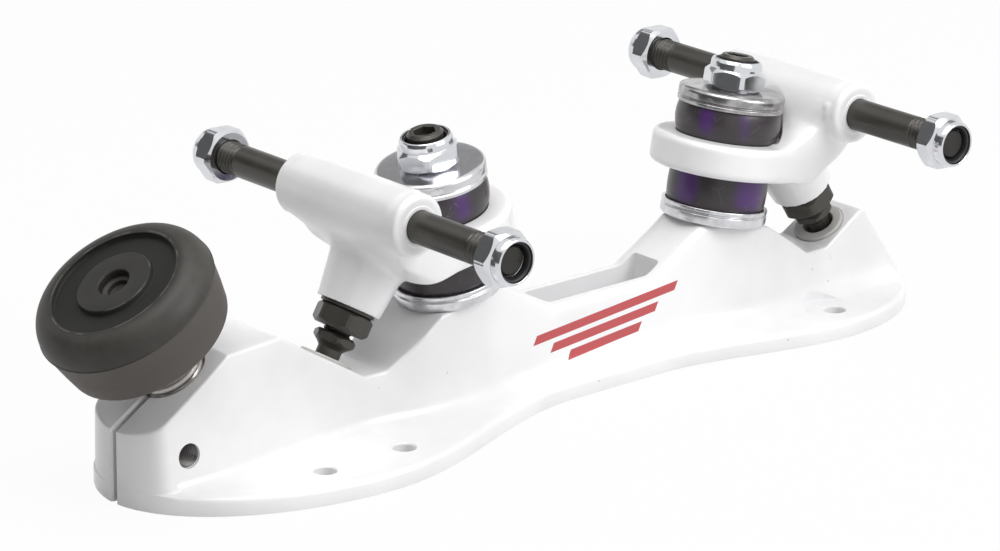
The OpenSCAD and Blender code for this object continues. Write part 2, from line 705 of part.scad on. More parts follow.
base_plate();
pinch_screw();
toe_stop_rubber();
toe_stop_stem();
toe_stop_washer();
for (end = [["front_", true], ["rear_", false]]) {
    kingpin(end[1]);
    kingpin_nut(end[1]);
    kingpin_nut_insert(end[1]);
    lower_washer(end[1]);
    upper_washer(end[1]);
    lower_cushion(end[1]);
    upper_cushion(end[1]);
    pivot_cup(end[1]);
    truck(end[1]);
    axle(end[1]);
    axle_nuts(end[1]);
    axle_nut_inserts(end[1]);
    pivot_stud(end[1]);
    pivot_lock_nut(end[1]);
    pivot_washer(end[1]);
}
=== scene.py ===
# %% [markdown]
# Roller skate plate, dressed for the camera. The solids of the plate arrive as a fixed frame, in metres.
# Every piece below takes the place of one solid, with the soft casting edges, threads, chamfers and
# finishes that the bare solids leave out.

# %% Load the frame
import math

import bmesh
import bpy
import numpy as np
from mathutils import Matrix, Vector


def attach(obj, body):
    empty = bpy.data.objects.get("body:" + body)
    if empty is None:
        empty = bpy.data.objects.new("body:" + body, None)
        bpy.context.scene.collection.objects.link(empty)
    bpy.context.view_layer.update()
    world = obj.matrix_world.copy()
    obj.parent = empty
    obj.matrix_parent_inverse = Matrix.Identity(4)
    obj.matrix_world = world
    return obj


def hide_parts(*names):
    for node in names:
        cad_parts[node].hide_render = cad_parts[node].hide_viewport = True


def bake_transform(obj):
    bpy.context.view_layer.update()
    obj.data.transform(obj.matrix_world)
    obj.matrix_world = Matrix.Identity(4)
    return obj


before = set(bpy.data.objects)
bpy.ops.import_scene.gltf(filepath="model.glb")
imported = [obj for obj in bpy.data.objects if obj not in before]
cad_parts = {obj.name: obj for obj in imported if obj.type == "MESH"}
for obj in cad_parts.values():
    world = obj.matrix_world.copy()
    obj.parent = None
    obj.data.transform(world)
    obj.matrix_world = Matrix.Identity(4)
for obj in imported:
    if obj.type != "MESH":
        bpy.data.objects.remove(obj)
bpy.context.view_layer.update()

# %% [markdown]
# The sizes of the real plate, in millimetres. They could be read from each solid's box, but a slanted
# part has no useful box, so they repeat the solids' own sizes and each piece lands on its seat. Each
# truck is described in an end frame: u runs outward from the axle, z up from the boot face.

# %% Sizes and places
MM = 0.001
HALF_WB = 71.5
AXLE_Z = 57.0
NOSE_REACH = 72.3
NOSE_X = HALF_WB + NOSE_REACH
HEEL_X = -HALF_WB - 34.2
FLANGE_T = 4.5
VALLEY_U, VALLEY_Z = 4.6, 17.4
KING_U, KING_Z, KING_TILT = -28, 30, 10.6
PIVOT_U, PIVOT_TILT = 10, 31.0
PIVOT_Z = VALLEY_Z + (PIVOT_U - VALLEY_U) * math.tan(math.radians(PIVOT_TILT))
NOSE_Z, NOSE_SLOPE = 17.6, 32.6
STEM_UP = 20
STEM_X = NOSE_X - STEM_UP * math.cos(math.radians(NOSE_SLOPE))
STEM_Z = NOSE_Z + STEM_UP * math.sin(math.radians(NOSE_SLOPE))
STOP_RISE = 10.8
PINCH_X, PINCH_Z = NOSE_X - 11.8, 12.4
WASHER_T, CUSHION_H, RING_WEB = 1.6, 12.8, 4.5
WEB_Q = WASHER_T + CUSHION_H
RING_Q = WEB_Q + RING_WEB / 2
NUT_Q = WEB_Q + RING_WEB + CUSHION_H + WASHER_T
ENDS = ("front", "rear")


def shift(x=0.0, y=0.0, z=0.0):
    return Matrix.Translation((x, y, z))


def turn(degrees, axis):
    return Matrix.Rotation(math.radians(degrees), 4, axis)


def at_end(end):
    """The end frame of a truck: the rear one is the front one turned half round."""
    half_turn = turn(0 if end == "front" else 180, "Z")
    return half_turn @ shift(HALF_WB)


def on_kingpin(q=0.0):
    return shift(KING_U, 0, KING_Z) @ turn(KING_TILT, "Y") @ shift(z=q)


def on_pivot(k=0.0):
    return shift(PIVOT_U, 0, PIVOT_Z) @ turn(-PIVOT_TILT, "Y") @ shift(z=k)


def on_stem(q=0.0):
    return shift(STEM_X, 0, STEM_Z) @ turn(NOSE_SLOPE, "Y") @ shift(z=q)


print("pivot at", round(PIVOT_Z, 2), "stem at", round(STEM_X, 2), round(STEM_Z, 2))

# %% [markdown]
# Node trees are easier to read as sums. A Wire holds one socket, and the usual operators add Math nodes.
# Any other node comes from Graph.add: its type, its settings, and what goes into its sockets.

# %% Sums that build nodes


class Wire:
    """A socket that can be used in an expression."""

    def __init__(self, graph, socket):
        self.graph = graph
        self.socket = socket

    def math(self, operation, *others):
        return self.graph.sum(operation, self, *others)

    def __add__(self, other):
        return self.math("ADD", other)

    __radd__ = __add__

    def __sub__(self, other):
        return self.math("SUBTRACT", other)

    def __rsub__(self, other):
        return self.graph.sum("SUBTRACT", other, self)

    def __mul__(self, other):
        return self.math("MULTIPLY", other)

    __rmul__ = __mul__

    def __truediv__(self, other):
        return self.math("DIVIDE", other)

    def __abs__(self):
        return self.math("ABSOLUTE")

    def __gt__(self, other):
        return self.math("GREATER_THAN", other)

    def __lt__(self, other):
        return self.math("LESS_THAN", other)


class Graph:
    """A node tree with one way to add a node."""

    def __init__(self, tree):
        self.tree = tree

    def add(self, kind, settings=None, sockets=None, out=0):
        node = self.tree.nodes.new(kind)
        for key, value in (settings or {}).items():
            setattr(node, key, value)
        for key, value in (sockets or {}).items():
            if isinstance(value, Wire):
                self.tree.links.new(value.socket, node.inputs[key])
            else:
                node.inputs[key].default_value = value
        return Wire(self, node.outputs[out]) if len(node.outputs) else node

    def sum(self, operation, *terms):
        return self.add("ShaderNodeMath", {"operation": operation}, dict(enumerate(terms)))

    def split(self, vector):
        """The x, y and z of a vector, as three wires."""
        parts = self.add("ShaderNodeSeparateXYZ", {}, {0: vector}).socket.node
        return [Wire(self, socket) for socket in parts.outputs]


print("signs that a wire takes: + - * / abs > <")

# %% [markdown]
# A finish is a Principled shader whose colour, roughness and bump vary over the piece. Each could be
# wired by hand in the shader editor. Helpers keep the usual ingredients alike: noise at a real size,
# specks, a bump from a height.

# %% Finish helpers


class Finish(Graph):
    """A new material, with the piece's own coordinates at hand."""

    def __init__(self, name, **constants):
        self.material = bpy.data.materials.new(name)
        self.material.use_nodes = True
        super().__init__(self.material.node_tree)
        self.shader = self.tree.nodes["Principled BSDF"]
        for socket, value in constants.items():
            self.shader.inputs[socket.replace("_", " ")].default_value = value
        self.place = self.add("ShaderNodeTexCoord", out="Object")
        self.x, self.y, self.z = self.split(self.place)

    def noise(self, size_mm, detail=3.0, rough=0.5, place=None):
        sockets = {"Vector": place or self.place, "Scale": 1 / (size_mm * MM)}
        sockets |= {"Detail": detail, "Roughness": rough}
        return self.add("ShaderNodeTexNoise", {}, sockets, "Fac")

    def stretched(self, scale):
        return self.add("ShaderNodeMapping", {}, {"Vector": self.place, "Scale": scale})

    def cells(self, size_mm, feature="F1"):
        sockets = {"Vector": self.place, "Scale": 1 / (size_mm * MM)}
        return self.add("ShaderNodeTexVoronoi", {"feature": feature}, sockets, "Distance")

    def span(self, value, low, high, to_low=0.0, to_high=1.0):
        sockets = {0: value, 1: low, 2: high, 3: to_low, 4: to_high}
        return self.add("ShaderNodeMapRange", {"interpolation_type": "SMOOTHSTEP"}, sockets)

    def fade(self, value, low, high):
        return self.span(value, low, high, 1, 0)

    def blend(self, factor, first, second):
        as_colour = [c if isinstance(c, Wire) else (*c, 1) for c in (first, second)]
        sockets = {0: factor, 6: as_colour[0], 7: as_colour[1]}
        return self.add("ShaderNodeMix", {"data_type": "RGBA"}, sockets, 2)

    def bump(self, height, depth_mm, strength=1.0):
        sockets = {"Height": height, "Distance": depth_mm * MM, "Strength": strength}
        return self.add("ShaderNodeBump", {}, sockets)

    def feed(self, **wires):
        for socket, wire in wires.items():
            self.tree.links.new(wire.socket, self.shader.inputs[socket.replace("_", " ")])
        return self.material


print("noise of 5 mm has a scale of", round(1 / (5 * MM)))

# %% [markdown]
# The casting is sprayed gloss white over blasted aluminium. Close up the paint has a faint orange peel, a
# few grey specks and pin holes left by the sand, and an uneven gloss. An image could hold all this, but
# the casting would have to be unwrapped. Noise on Object coordinates has a real size and needs no
# unwrapping.

# %% White paint and its red stripes
WHITE = (0.83, 0.83, 0.835)
WHITE_SHADE = (0.77, 0.77, 0.775)
SPECK = (0.46, 0.45, 0.44)
RED = (0.46, 0.055, 0.06)
BARE_METAL = (0.17, 0.165, 0.16)
STRIPES = ((15.4, 17.6, -13.5, 31.0), (12.0, 14.2, -9.0, 24.0), (8.6, 10.8, -5.5, 17.0))


def tapped_hole(paint):
    """The pinch screw's hole is tapped after painting, so its thread and rim are bare."""
    along, up = paint.x / MM - PINCH_X, paint.z / MM - PINCH_Z
    return (along * along + up * up).math("SQRT") < 2.9


def red_stripes(paint):
    """Three plain slanted bars on the near wall of the rib, each a little shorter than the one above."""
    along, up, side = paint.x / MM, paint.z / MM, paint.y / MM
    lean = along + 0.55 * up
    rise = up + 0.09 * along
    worn = 0.5 * (paint.noise(1.2, 2) - 0.5)
    bars = [(rise > low + 0.04 * worn) * (rise < high) * (lean > start + worn * 0.2) * (lean < stop)
            for low, high, start, stop in STRIPES]
    return sum(bars[1:], bars[0]) * (side > 5.0)


def white_paint(name, striped=False):
    paint = Finish(name, IOR=1.5, Coat_Roughness=0.12, Coat_IOR=1.5)
    cloud = paint.noise(24, 4)
    pits = paint.fade(paint.cells(7.5), 0.02, 0.04) * (paint.noise(29, 1) > 0.52)
    colour = paint.blend(paint.span(cloud, 0.35, 0.7), WHITE, WHITE_SHADE)
    colour = paint.blend(pits, colour, SPECK)
    coat = 0.35 + 0.2 * cloud
    rough = 0.3 + 0.1 * (paint.noise(5, 3) - 0.5)
    peel = paint.noise(0.9, 2) * 0.35 + paint.noise(4, 3) - pits * 2.2
    if striped:
        colour = paint.blend(red_stripes(paint), colour, RED)
        bare = tapped_hole(paint)
        colour = paint.blend(bare, colour, BARE_METAL)
        coat = coat * (1 - bare)
        rough = rough + 0.12 * bare
        paint.feed(Metallic=bare)
    peel_bump = paint.bump(peel, 0.05, 0.35)
    return paint.feed(Base_Color=colour, Roughness=rough, Coat_Weight=coat, Normal=peel_bump)


PAINT_PLATE = white_paint("white_paint_striped", striped=True)
PAINT_TRUCK = white_paint("white_paint")
print("paints with", len(PAINT_PLATE.node_tree.nodes), "and", len(PAINT_TRUCK.node_tree.nodes), "nodes")

# %% [markdown]
# The axles and studs are black oxide steel with rubbed spots, the nuts are bright zinc, the cup washers
# satin, the toe stop's stem dull. One metal in several colours would be quicker, but each wears in its
# own way, so each has its own clouds, streaks and gloss.

# %% Metal finishes


def black_steel(name):
    steel = Finish(name, Metallic=0.55, IOR=1.6)
    streaks = steel.noise(2.2, 5, 0.7, steel.stretched((1.0, 0.16, 1.0)))
    paler_marks = steel.span(streaks, 0.56, 0.8)
    cloud = steel.noise(6, 4)
    # Painted shade: the axle ends, recessed inside the nuts, are painted darker as the shade there.
    painted_shade_ends = steel.span(abs(steel.y / MM), 54.3, 54.7)
    colour = steel.blend(cloud, (0.045, 0.0425, 0.0365), (0.070, 0.0655, 0.057))
    colour = steel.blend(paler_marks * 0.4, colour, (0.15, 0.14, 0.125))
    colour = steel.blend(painted_shade_ends * 0.75, colour, (0.018, 0.017, 0.015))
    rough = 0.36 + 0.18 * (cloud - 0.5) - 0.08 * paler_marks + 0.15 * painted_shade_ends
    return steel.feed(Base_Color=colour, Roughness=rough, Normal=steel.bump(streaks, 0.015, 0.5))


def bright_zinc(name):
    zinc = Finish(name, Metallic=1.0)
    cloud = zinc.noise(3.5, 4)
    scuff = zinc.span(zinc.noise(1.3, 5, 0.7), 0.6, 0.78)
    colour = zinc.blend(cloud, (0.72, 0.735, 0.76), (0.60, 0.61, 0.635))
    rough = 0.13 + 0.1 * (cloud - 0.4) + 0.18 * scuff
    return zinc.feed(Base_Color=colour, Roughness=rough, Normal=zinc.bump(zinc.noise(0.5, 3), 0.012, 0.35))


def satin_plate(name, light, dark):
    plate = Finish(name, Metallic=1.0)
    cloud = plate.noise(4, 5, 0.6)
    grain = plate.noise(0.35, 3)
    colour = plate.blend(plate.span(cloud, 0.3, 0.7), light, dark)
    rough = 0.2 + 0.16 * (cloud - 0.5) + 0.06 * grain
    return plate.feed(Base_Color=colour, Roughness=rough, Normal=plate.bump(grain, 0.01, 0.4))


def dull_zinc(name):
    zinc = Finish(name, Metallic=0.9)
    cloud = zinc.noise(5, 4)
    colour = zinc.blend(cloud, (0.47, 0.45, 0.425), (0.33, 0.315, 0.30))
    rough = 0.36 + 0.16 * (cloud - 0.5)
    return zinc.feed(Base_Color=colour, Roughness=rough, Normal=zinc.bump(zinc.noise(0.6, 3), 0.015, 0.4))


BLACK_STEEL = black_steel("black_oxide_steel")
BRIGHT_ZINC = bright_zinc("bright_zinc")
SATIN_PLATE = satin_plate("satin_washer_plate", (0.70, 0.70, 0.72), (0.56, 0.56, 0.58))
SCUFFED_PLATE = satin_plate("scuffed_washer_plate", (0.50, 0.49, 0.49), (0.30, 0.295, 0.295))
STEM_ZINC = dull_zinc("dull_stem_zinc")
print("metals", [metal.name for metal in (BLACK_STEEL, BRIGHT_ZINC, SATIN_PLATE, SCUFFED_PLATE, STEM_ZINC)])

# %% [markdown]
# The toe stop is dull black rubber with a dusty bloom. Painted shade darkens its face and its sunken ring,
# painted light makes its lower half lighter and browner, and painted highlights run along its lips.
# Separate materials could do it face by face, but the edges between them would be hard. Height and radius
# from the stem's own axis, worked out from Object coordinates, let each tone fade into the next.

# %% Toe stop rubber


def stop_rubber(name):
    rubber = Finish(name, IOR=1.5, Specular_IOR_Level=0.3)
    slope = math.radians(NOSE_SLOPE)
    fore, up, side = rubber.x / MM - STEM_X, rubber.z / MM - STEM_Z, rubber.y / MM
    height = fore * math.sin(slope) + up * math.cos(slope) - STOP_RISE
    across = fore * math.cos(slope) - up * math.sin(slope)
    radius = (across * across + side * side).math("SQRT")
    bloom = rubber.noise(7, 5, 0.6)
    on_face = rubber.span(height, 15.6, 16.0)
    # Painted shade: the sunken ring is painted darker, as shade in the recess.
    sunken_painted_shade = on_face * rubber.span(radius, 9.1, 9.4) * rubber.fade(radius, 15.5, 15.8)
    step = on_face * rubber.fade(height, 16.9, 17.2) * rubber.fade(radius, 3.6, 3.8)
    # Painted highlights: thin lines of light painted in patches along the lips of the ring and of the face.
    lip_highlight_lines = rubber.fade(abs(radius - 9.2), 0.1, 0.22) + rubber.fade(abs(radius - 16.0), 0.1, 0.25)
    paler_marks = lip_highlight_lines * rubber.span(height, 18.25, 18.45) * rubber.span(rubber.noise(4, 3), 0.42, 0.6)
    # Painted light: the side below the seam is painted lighter and browner.
    lower = rubber.fade(height, 11.9, 12.2)
    rings = ((radius * 5.2).math("SINE") * 0.5 + 0.5) * rubber.span(height, 17.0, 17.4)
    # Painted shade: the face is painted darker than the shoulders and sides.
    face_painted_shade_mask = on_face * rubber.fade(radius, 16.0, 18.0)
    dusty = rubber.span(bloom, 0.35, 0.75)
    worn = rubber.blend(dusty, (0.037, 0.035, 0.031), (0.052, 0.049, 0.0435))
    face_painted_shade_tone = rubber.blend(dusty, (0.0145, 0.014, 0.012), (0.0235, 0.0225, 0.0195))
    colour = rubber.blend(face_painted_shade_mask, worn, face_painted_shade_tone)
    # Painted light and shade laid over the rubber's tone: lower side, sunken ring, the hole's step and the
    # lips.
    for mask, tone in ((lower * 0.85, (0.088, 0.078, 0.071)), (sunken_painted_shade * 0.85, (0.0095, 0.0098, 0.008)),
                       (step * 0.7, (0.06, 0.057, 0.05)), (paler_marks * 0.6, (0.12, 0.115, 0.10))):
        colour = rubber.blend(mask, colour, tone)
    rough = 0.48 + 0.2 * (bloom - 0.5) + 0.14 * lower + 0.2 * sunken_painted_shade
    height_map = rubber.noise(0.45, 3) + bloom * 2 + rings * 0.7
    return rubber.feed(Base_Color=colour, Roughness=rough, Normal=rubber.bump(height_map, 0.03, 0.4))


STOP_RUBBER = stop_rubber("toe_stop_rubber")
print("rubber with", len(STOP_RUBBER.node_tree.nodes), "nodes")

# %% [markdown]
# The cushions are a dark purple urethane that lets some light through. Full glass would show it, but it
# is slow and noisy, so a little transmission is mixed with painted light: a purple glow painted into the
# colour where light would come through, kept by each cushion as an attribute of its points. The nut
# rings and the pivot cups are plain plastics with a faint cloud.

# %% Urethane and plastics


def urethane(name):
    soft = Finish(name, IOR=1.48, Transmission_Weight=0.22)
    glow = soft.add("ShaderNodeAttribute", {"attribute_name": "glow"}, {}, "Fac")
    cloud = soft.noise(5, 3)
    scratch = (soft.cells(6, "DISTANCE_TO_EDGE") < 0.008) * (soft.noise(4, 2) > 0.56)
    smoke = soft.blend(cloud, (0.040, 0.034, 0.037), (0.054, 0.045, 0.052))
    # Painted light: the glow attribute paints purple into the base colour where light would shine through.
    colour = soft.blend(soft.span(glow + 0.5 * (cloud - 0.5), 0.1, 0.9), smoke, (0.088, 0.029, 0.17))
    colour = soft.blend(scratch * 0.5, colour, (0.17, 0.16, 0.165))
    rough = 0.24 + 0.12 * cloud
    return soft.feed(Base_Color=colour, Roughness=rough, Normal=soft.bump(soft.noise(1.4, 3), 0.02, 0.3))


def plain_plastic(name, dark, light, gloss):
    plastic = Finish(name, IOR=1.46)
    cloud = plastic.noise(3, 4)
    colour = plastic.blend(cloud, dark, light)
    rough = gloss + 0.15 * (cloud - 0.5)
    grain = plastic.bump(plastic.noise(0.4, 2), 0.01, 0.4)
    return plastic.feed(Base_Color=colour, Roughness=rough, Normal=grain)


URETHANE = urethane("purple_urethane")
NYLON = plain_plastic("black_nylon", (0.012, 0.012, 0.013), (0.026, 0.026, 0.028), 0.42)
CUP_PLASTIC = plain_plastic("grey_cup_plastic", (0.43, 0.42, 0.40), (0.52, 0.51, 0.49), 0.45)
print("soft finishes", [soft.name for soft in (URETHANE, NYLON, CUP_PLASTIC)])

# %% [markdown]
# Most of the hardware is turned on a lathe. The Screw modifier could spin a drawn curve, but a profile in
# code may give each corner a fillet, and a radius that changes with the angle turns the same helper into
# a nut maker.

# %% Rounded profiles


def rounded(corners, steps=4):
    """Corners as (r, z, fillet): each fillet becomes a short arc."""
    points = []
    count = len(corners)
    for i, (r, z, fillet) in enumerate(corners):
        here = np.array((r, z), float)
        before = np.array(corners[i - 1][:2], float) - here
        after = np.array(corners[(i + 1) % count][:2], float) - here
        if fillet <= 0:
            points.append(tuple(here))
            continue
        lb, la = np.linalg.norm(before), np.linalg.norm(after)
        before, after = before / lb, after / la
        half = 0.5 * math.acos(float(np.clip(before @ after, -1, 1)))
        reach = min(fillet / math.tan(half), 0.48 * lb, 0.48 * la)
        radius = reach * math.tan(half)
        middle = here + (before + after) / np.linalg.norm(before + after) * radius / math.sin(half)
        start, stop = here + before * reach - middle, here + after * reach - middle
        sweep = math.acos(float(np.clip(start @ stop / (radius * radius), -1, 1)))
        for k in range(steps + 1):
            t = k / steps
            arc = (math.sin((1 - t) * sweep) * start + math.sin(t * sweep) * stop) / math.sin(sweep)
            points.append(tuple(middle + arc))
    return points


print("a fillet takes", len(rounded([(0, 0, 0), (4, 0, 1), (4, 4, 0)])) - 2, "points")

# %% Turned shapes


def even_angles(count):
    return np.arange(count) * 2 * math.pi / count


def spun(profile, angles):
    """A mesh swept round Z, by a count of even angles or by given ones.
    Radii and heights are numbers, or arrays with one value for each angle. A profile that starts on the axis
    also ends there, and any other one closes on itself."""
    angles = even_angles(angles) if isinstance(angles, int) else angles
    count = len(angles)
    bm = bmesh.new()
    rings = []
    for r, z in profile:
        r, z = np.broadcast_to(r, count), np.broadcast_to(z, count)
        if r.max() < 1e-6:
            rings.append([bm.verts.new((0, 0, float(z[0])))])
        else:
            spots = [(r[i] * math.cos(a), r[i] * math.sin(a), z[i]) for i, a in enumerate(angles)]
            rings.append([bm.verts.new(spot) for spot in spots])
    pairs = list(zip(rings, rings[1:]))
    if len(rings[0]) > 1:
        pairs.append((rings[-1], rings[0]))
    for low, high in pairs:
        for i in range(count):
            j = (i + 1) % count
            corners = [low[i % len(low)], low[j % len(low)], high[j % len(high)], high[i % len(high)]]
            loop = list(dict.fromkeys(corners))
            if len(loop) > 2:
                bm.faces.new(loop)
    bmesh.ops.recalc_face_normals(bm, faces=bm.faces)
    mesh = bpy.data.meshes.new("spun")
    bm.to_mesh(mesh)
    bm.free()
    return mesh


print("96 even angles step by", round(math.degrees(even_angles(96)[1]), 2), "degrees")

# %% Finished pieces


def placed(name, data):
    obj = bpy.data.objects.new(name, data)
    bpy.context.scene.collection.objects.link(obj)
    return obj


def plain_mesh(obj):
    """What an object's modifiers make of it, as a mesh of its own. The object itself goes."""
    bpy.context.view_layer.update()
    evaluated = obj.evaluated_get(bpy.context.evaluated_depsgraph_get())
    mesh = bpy.data.meshes.new_from_object(evaluated)
    bpy.data.objects.remove(obj)
    return mesh


def joined(*parts):
    """One mesh from (mesh, matrix) pairs."""
    bm = bmesh.new()
    for mesh, matrix in parts:
        copy = mesh.copy()
        copy.transform(matrix)
        bm.from_mesh(copy)
        bpy.data.meshes.remove(copy)
    mesh = bpy.data.meshes.new("joined")
    bm.to_mesh(mesh)
    bm.free()
    return mesh


def piece(name, mesh, matrix, material, node, body=None, sharp=32):
    """A finished object at the origin, in metres, that stands for a CAD node and rides on a body."""
    mesh = mesh.copy()
    mesh.name = name
    mesh.transform(Matrix.Scale(MM, 4) @ matrix)
    mesh.materials.clear()
    mesh.materials.append(material)
    mesh.polygons.foreach_set("use_smooth", [True] * len(mesh.polygons))
    mesh.set_sharp_from_angle(angle=math.radians(sharp))
    obj = placed(name, mesh)
    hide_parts(node)
    if body:
        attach(obj, body)
    print(name, len(mesh.polygons), "faces")
    return obj


# %% [markdown]
# A hex nut could be a six-sided cylinder with a Bevel. Here it is a turned part whose outer radius
# follows a hexagon: its chamfer is a cone, so on each flat it leaves the familiar arc. The corners are a
# touch rounded, as on a rolled nut. A lock nut adds a round collar, rolled over a ring of nylon.

# %% Hex shapes
HEX_STEPS = np.radians([0, 0.7, 1.4, 2.4, 5, 10, 16, 23, 30, 37, 44, 50, 55, 57.6, 58.6, 59.3])
HEX_ANGLES = np.concatenate([k * math.pi / 3 + HEX_STEPS for k in range(6)])
FROM_FLAT = np.mod(HEX_ANGLES, math.pi / 3) - math.pi / 6


def hex_radius(across, soften=0.3):
    corner = np.degrees(math.pi / 6 - np.abs(FROM_FLAT))
    return across / 2 / np.cos(FROM_FLAT) - soften * np.exp(-(corner / 2.2) ** 2)


def hex_nut(across, height, bore):
    r = hex_radius(across)
    start = across / 2 - 0.45
    drop = np.maximum(r - start, 0) * math.tan(math.radians(42))
    top = height - drop
    lip = 0.35
    profile = [(bore + lip, 0), (start, 0), (r, drop), (r, drop + 0.02), (r, top - 0.02), (r, top),
               (start, height), (bore + lip, height), (bore, height - lip), (bore, lip)]
    return spun(profile, HEX_ANGLES)


def lock_nut(across, height, hex_h, bore):
    r = across / 2
    collar = rounded([(r - 1.6, hex_h - 1, 0), (r - 0.5, hex_h - 1.2, 0), (r - 0.5, hex_h + 0.5, 0.3),
                      (r - 0.62, height - 1, 0.6), (r - 1.05, height - 0.1, 0.5),
                      (r - 1.6, height - 0.05, 0.22), (r - 1.5, height - 0.8, 0)])
    return joined((hex_nut(across, hex_h, bore), Matrix()), (spun(collar, 96), Matrix()))


def nylon_ring(across, height, hex_h, bore):
    outer = across / 2 - 1.52
    top = height - 0.7
    corners = [(bore, hex_h, 0), (outer, hex_h, 0), (outer, top, 0.3)]
    return spun(rounded(corners + [(bore + 0.3, top, 0.4), (bore, top - 0.9, 0)]), 72)


print("13 mm across flats is", round(2 * float(hex_radius(13).max()), 2), "mm across corners")

# %% [markdown]
# Threads repeat, so a Geometry Nodes tree makes them: a finely divided cylinder whose skin is pulled in
# along a helix. The Screw modifier gives a truer thread but a poor start and end. Here inputs give the
# radius, length, pitch, depth and how far from the middle the thread starts, and it runs out softly.

# %% The thread tree


def wrap_tree(name, inputs):
    tree = bpy.data.node_groups.new(name, "GeometryNodeTree")
    tree.interface.new_socket("Geometry", in_out="OUTPUT", socket_type="NodeSocketGeometry")
    for label, kind in inputs:
        tree.interface.new_socket(label, in_out="INPUT", socket_type=kind)
    graph = Graph(tree)
    inlet = tree.nodes.new("NodeGroupInput")
    return tree, graph, {label: Wire(graph, inlet.outputs[label]) for label, _ in inputs}


def close_tree(graph, geometry, material):
    real = graph.add("GeometryNodeRealizeInstances", {}, {0: geometry})
    painted = graph.add("GeometryNodeSetMaterial", {}, {"Geometry": real, "Material": material})
    graph.add("NodeGroupOutput", {}, {0: painted})


def thread_tree():
    numbers = [(name, "NodeSocketFloat") for name in ("Radius", "Length", "Pitch", "Depth", "Plain Half")]
    counts = [(name, "NodeSocketInt") for name in ("Around", "Along")]
    tree, g, given = wrap_tree("threaded_rod", numbers + counts + [("Material", "NodeSocketMaterial")])
    radius, length, pitch, depth = (given[name] for name in ("Radius", "Length", "Pitch", "Depth"))
    rod = g.add("GeometryNodeMeshCylinder", {"fill_type": "TRIANGLE_FAN"}, {
        "Vertices": given["Around"], "Side Segments": given["Along"], "Radius": radius, "Depth": length})
    x, y, z = g.split(g.add("GeometryNodeInputPosition"))
    helix = (z / pitch - y.math("ARCTAN2", x) / (2 * math.pi)).math("FRACT")
    valley = (1 - abs(helix * 2 - 1) * 1.35).math("MAXIMUM", 0).math("MINIMUM", 0.86)
    from_end = length / 2 - abs(z)
    started = ((abs(z) - given["Plain Half"]) / pitch).math("MAXIMUM", 0).math("MINIMUM", 1)
    lead = (1 - from_end / pitch).math("MAXIMUM", 0)
    on_skin = (x * x + y * y).math("SQRT") > radius * 0.5
    inward = (valley * started * depth + lead * depth) * on_skin / radius
    move = g.add("ShaderNodeCombineXYZ", {}, {0: x * inward * -1, 1: y * inward * -1})
    ridged = g.add("GeometryNodeSetPosition", {}, {"Geometry": rod, "Offset": move})
    close_tree(g, ridged, given["Material"])
    return tree


THREADS = thread_tree()


def grown(tree, settings):
    """The plain mesh that a tree makes with these inputs."""
    holder = placed("growing", bpy.data.meshes.new("growing"))
    modifier = holder.modifiers.new("grow", "NODES")
    modifier.node_group = tree
    for socket in tree.interface.items_tree:
        if socket.in_out == "INPUT" and socket.name in settings:
            modifier[socket.identifier] = settings[socket.name]
    return plain_mesh(holder)


def threaded(radius, length, pitch, depth, plain_half=0.0, around=40, per_turn=6):
    sizes = {"Radius": radius, "Length": length, "Pitch": pitch, "Depth": depth, "Plain Half": plain_half}
    counts = {"Around": around, "Along": max(2, int(length / pitch * per_turn))}
    return grown(THREADS, {**sizes, **counts, "Material": BLACK_STEEL})


print("thread tree of", len(THREADS.nodes), "nodes")

# %% [markdown]
# Nuts repeat too. A linked copy at each end would do, but a second tree can stand one nut on every point
# it is given, turned by the point's own angles, and hand back a single mesh for each truck.

# %% The tree that sets nuts on points


def nut_tree():
    inputs = [("Points", "NodeSocketObject"), ("Nut", "NodeSocketObject"), ("Material", "NodeSocketMaterial")]
    tree, g, given = wrap_tree("nuts_on_points", inputs)
    seats = g.add("GeometryNodeObjectInfo", {}, {0: given["Points"]}, "Geometry")
    nut = g.add("GeometryNodeObjectInfo", {}, {0: given["Nut"]}, "Geometry")
    facing = g.add("GeometryNodeInputNamedAttribute", {"data_type": "FLOAT_VECTOR"}, {0: "facing"})
    as_turn = g.add("FunctionNodeEulerToRotation", {}, {0: facing})
    stood = g.add("GeometryNodeInstanceOnPoints", {}, {"Points": seats, "Instance": nut, "Rotation": as_turn})
    close_tree(g, stood, given["Material"])
    return tree


NUTS = nut_tree()


def on_points(mesh, seats, material):
    """seats: (place, turn in degrees) pairs, in the mesh's own millimetres."""
    points = bpy.data.meshes.new("seats")
    points.from_pydata([place for place, _ in seats], [], [])
    facing = points.attributes.new("facing", "FLOAT_VECTOR", "POINT")
    facing.data.foreach_set("vector", [math.radians(a) for _, angles in seats for a in angles])
    helpers = [placed("seats", points), placed("one_nut", mesh)]
    result = grown(NUTS, {"Points": helpers[0], "Nut": helpers[1], "Material": material})
    for helper in helpers:
        bpy.data.objects.remove(helper)
    return result


print("nut tree of", len(NUTS.nodes), "nodes")

# %% [markdown]
# The plate is one casting: a thin flange for the boot, with a rib that sweeps up out of it and swells
# under the kingpins. A subdivided cage could give its curves, but not its sizes. A loft gives both: these
# are its lines, the flange's half width, the rib's half width and the rib's top, each as a function of
# the place along the foot.

# %% The plate's sizes, and easing
TOE_X = HALF_WB + 16.5
HEEL_MID_X = -HALF_WB + 3.5
WAIST_BACK_X, WAIST_FRONT_X = -12, 16
TOE_W, WAIST_W, HEEL_W = 70.2, 31.8, 52.4
RIB_W, NOSE_W, KING_W, RIB_DRAFT = 16.4, 25.4, 21.2, 0.06
RIB_Z, REAR_RIDGE_Z, FRONT_RIDGE_Z = 21.7, 25.4, 33.4
KING_FLAT = 10.2
INNER_SLOPE, OUTER_SLOPE, HEEL_SLOPE = 32, 34, 56


def smooth(t):
    t = min(max(t, 0.0), 1.0)
    return t * t * (3 - 2 * t)


def mix(a, b, t):
    return a + (b - a) * t


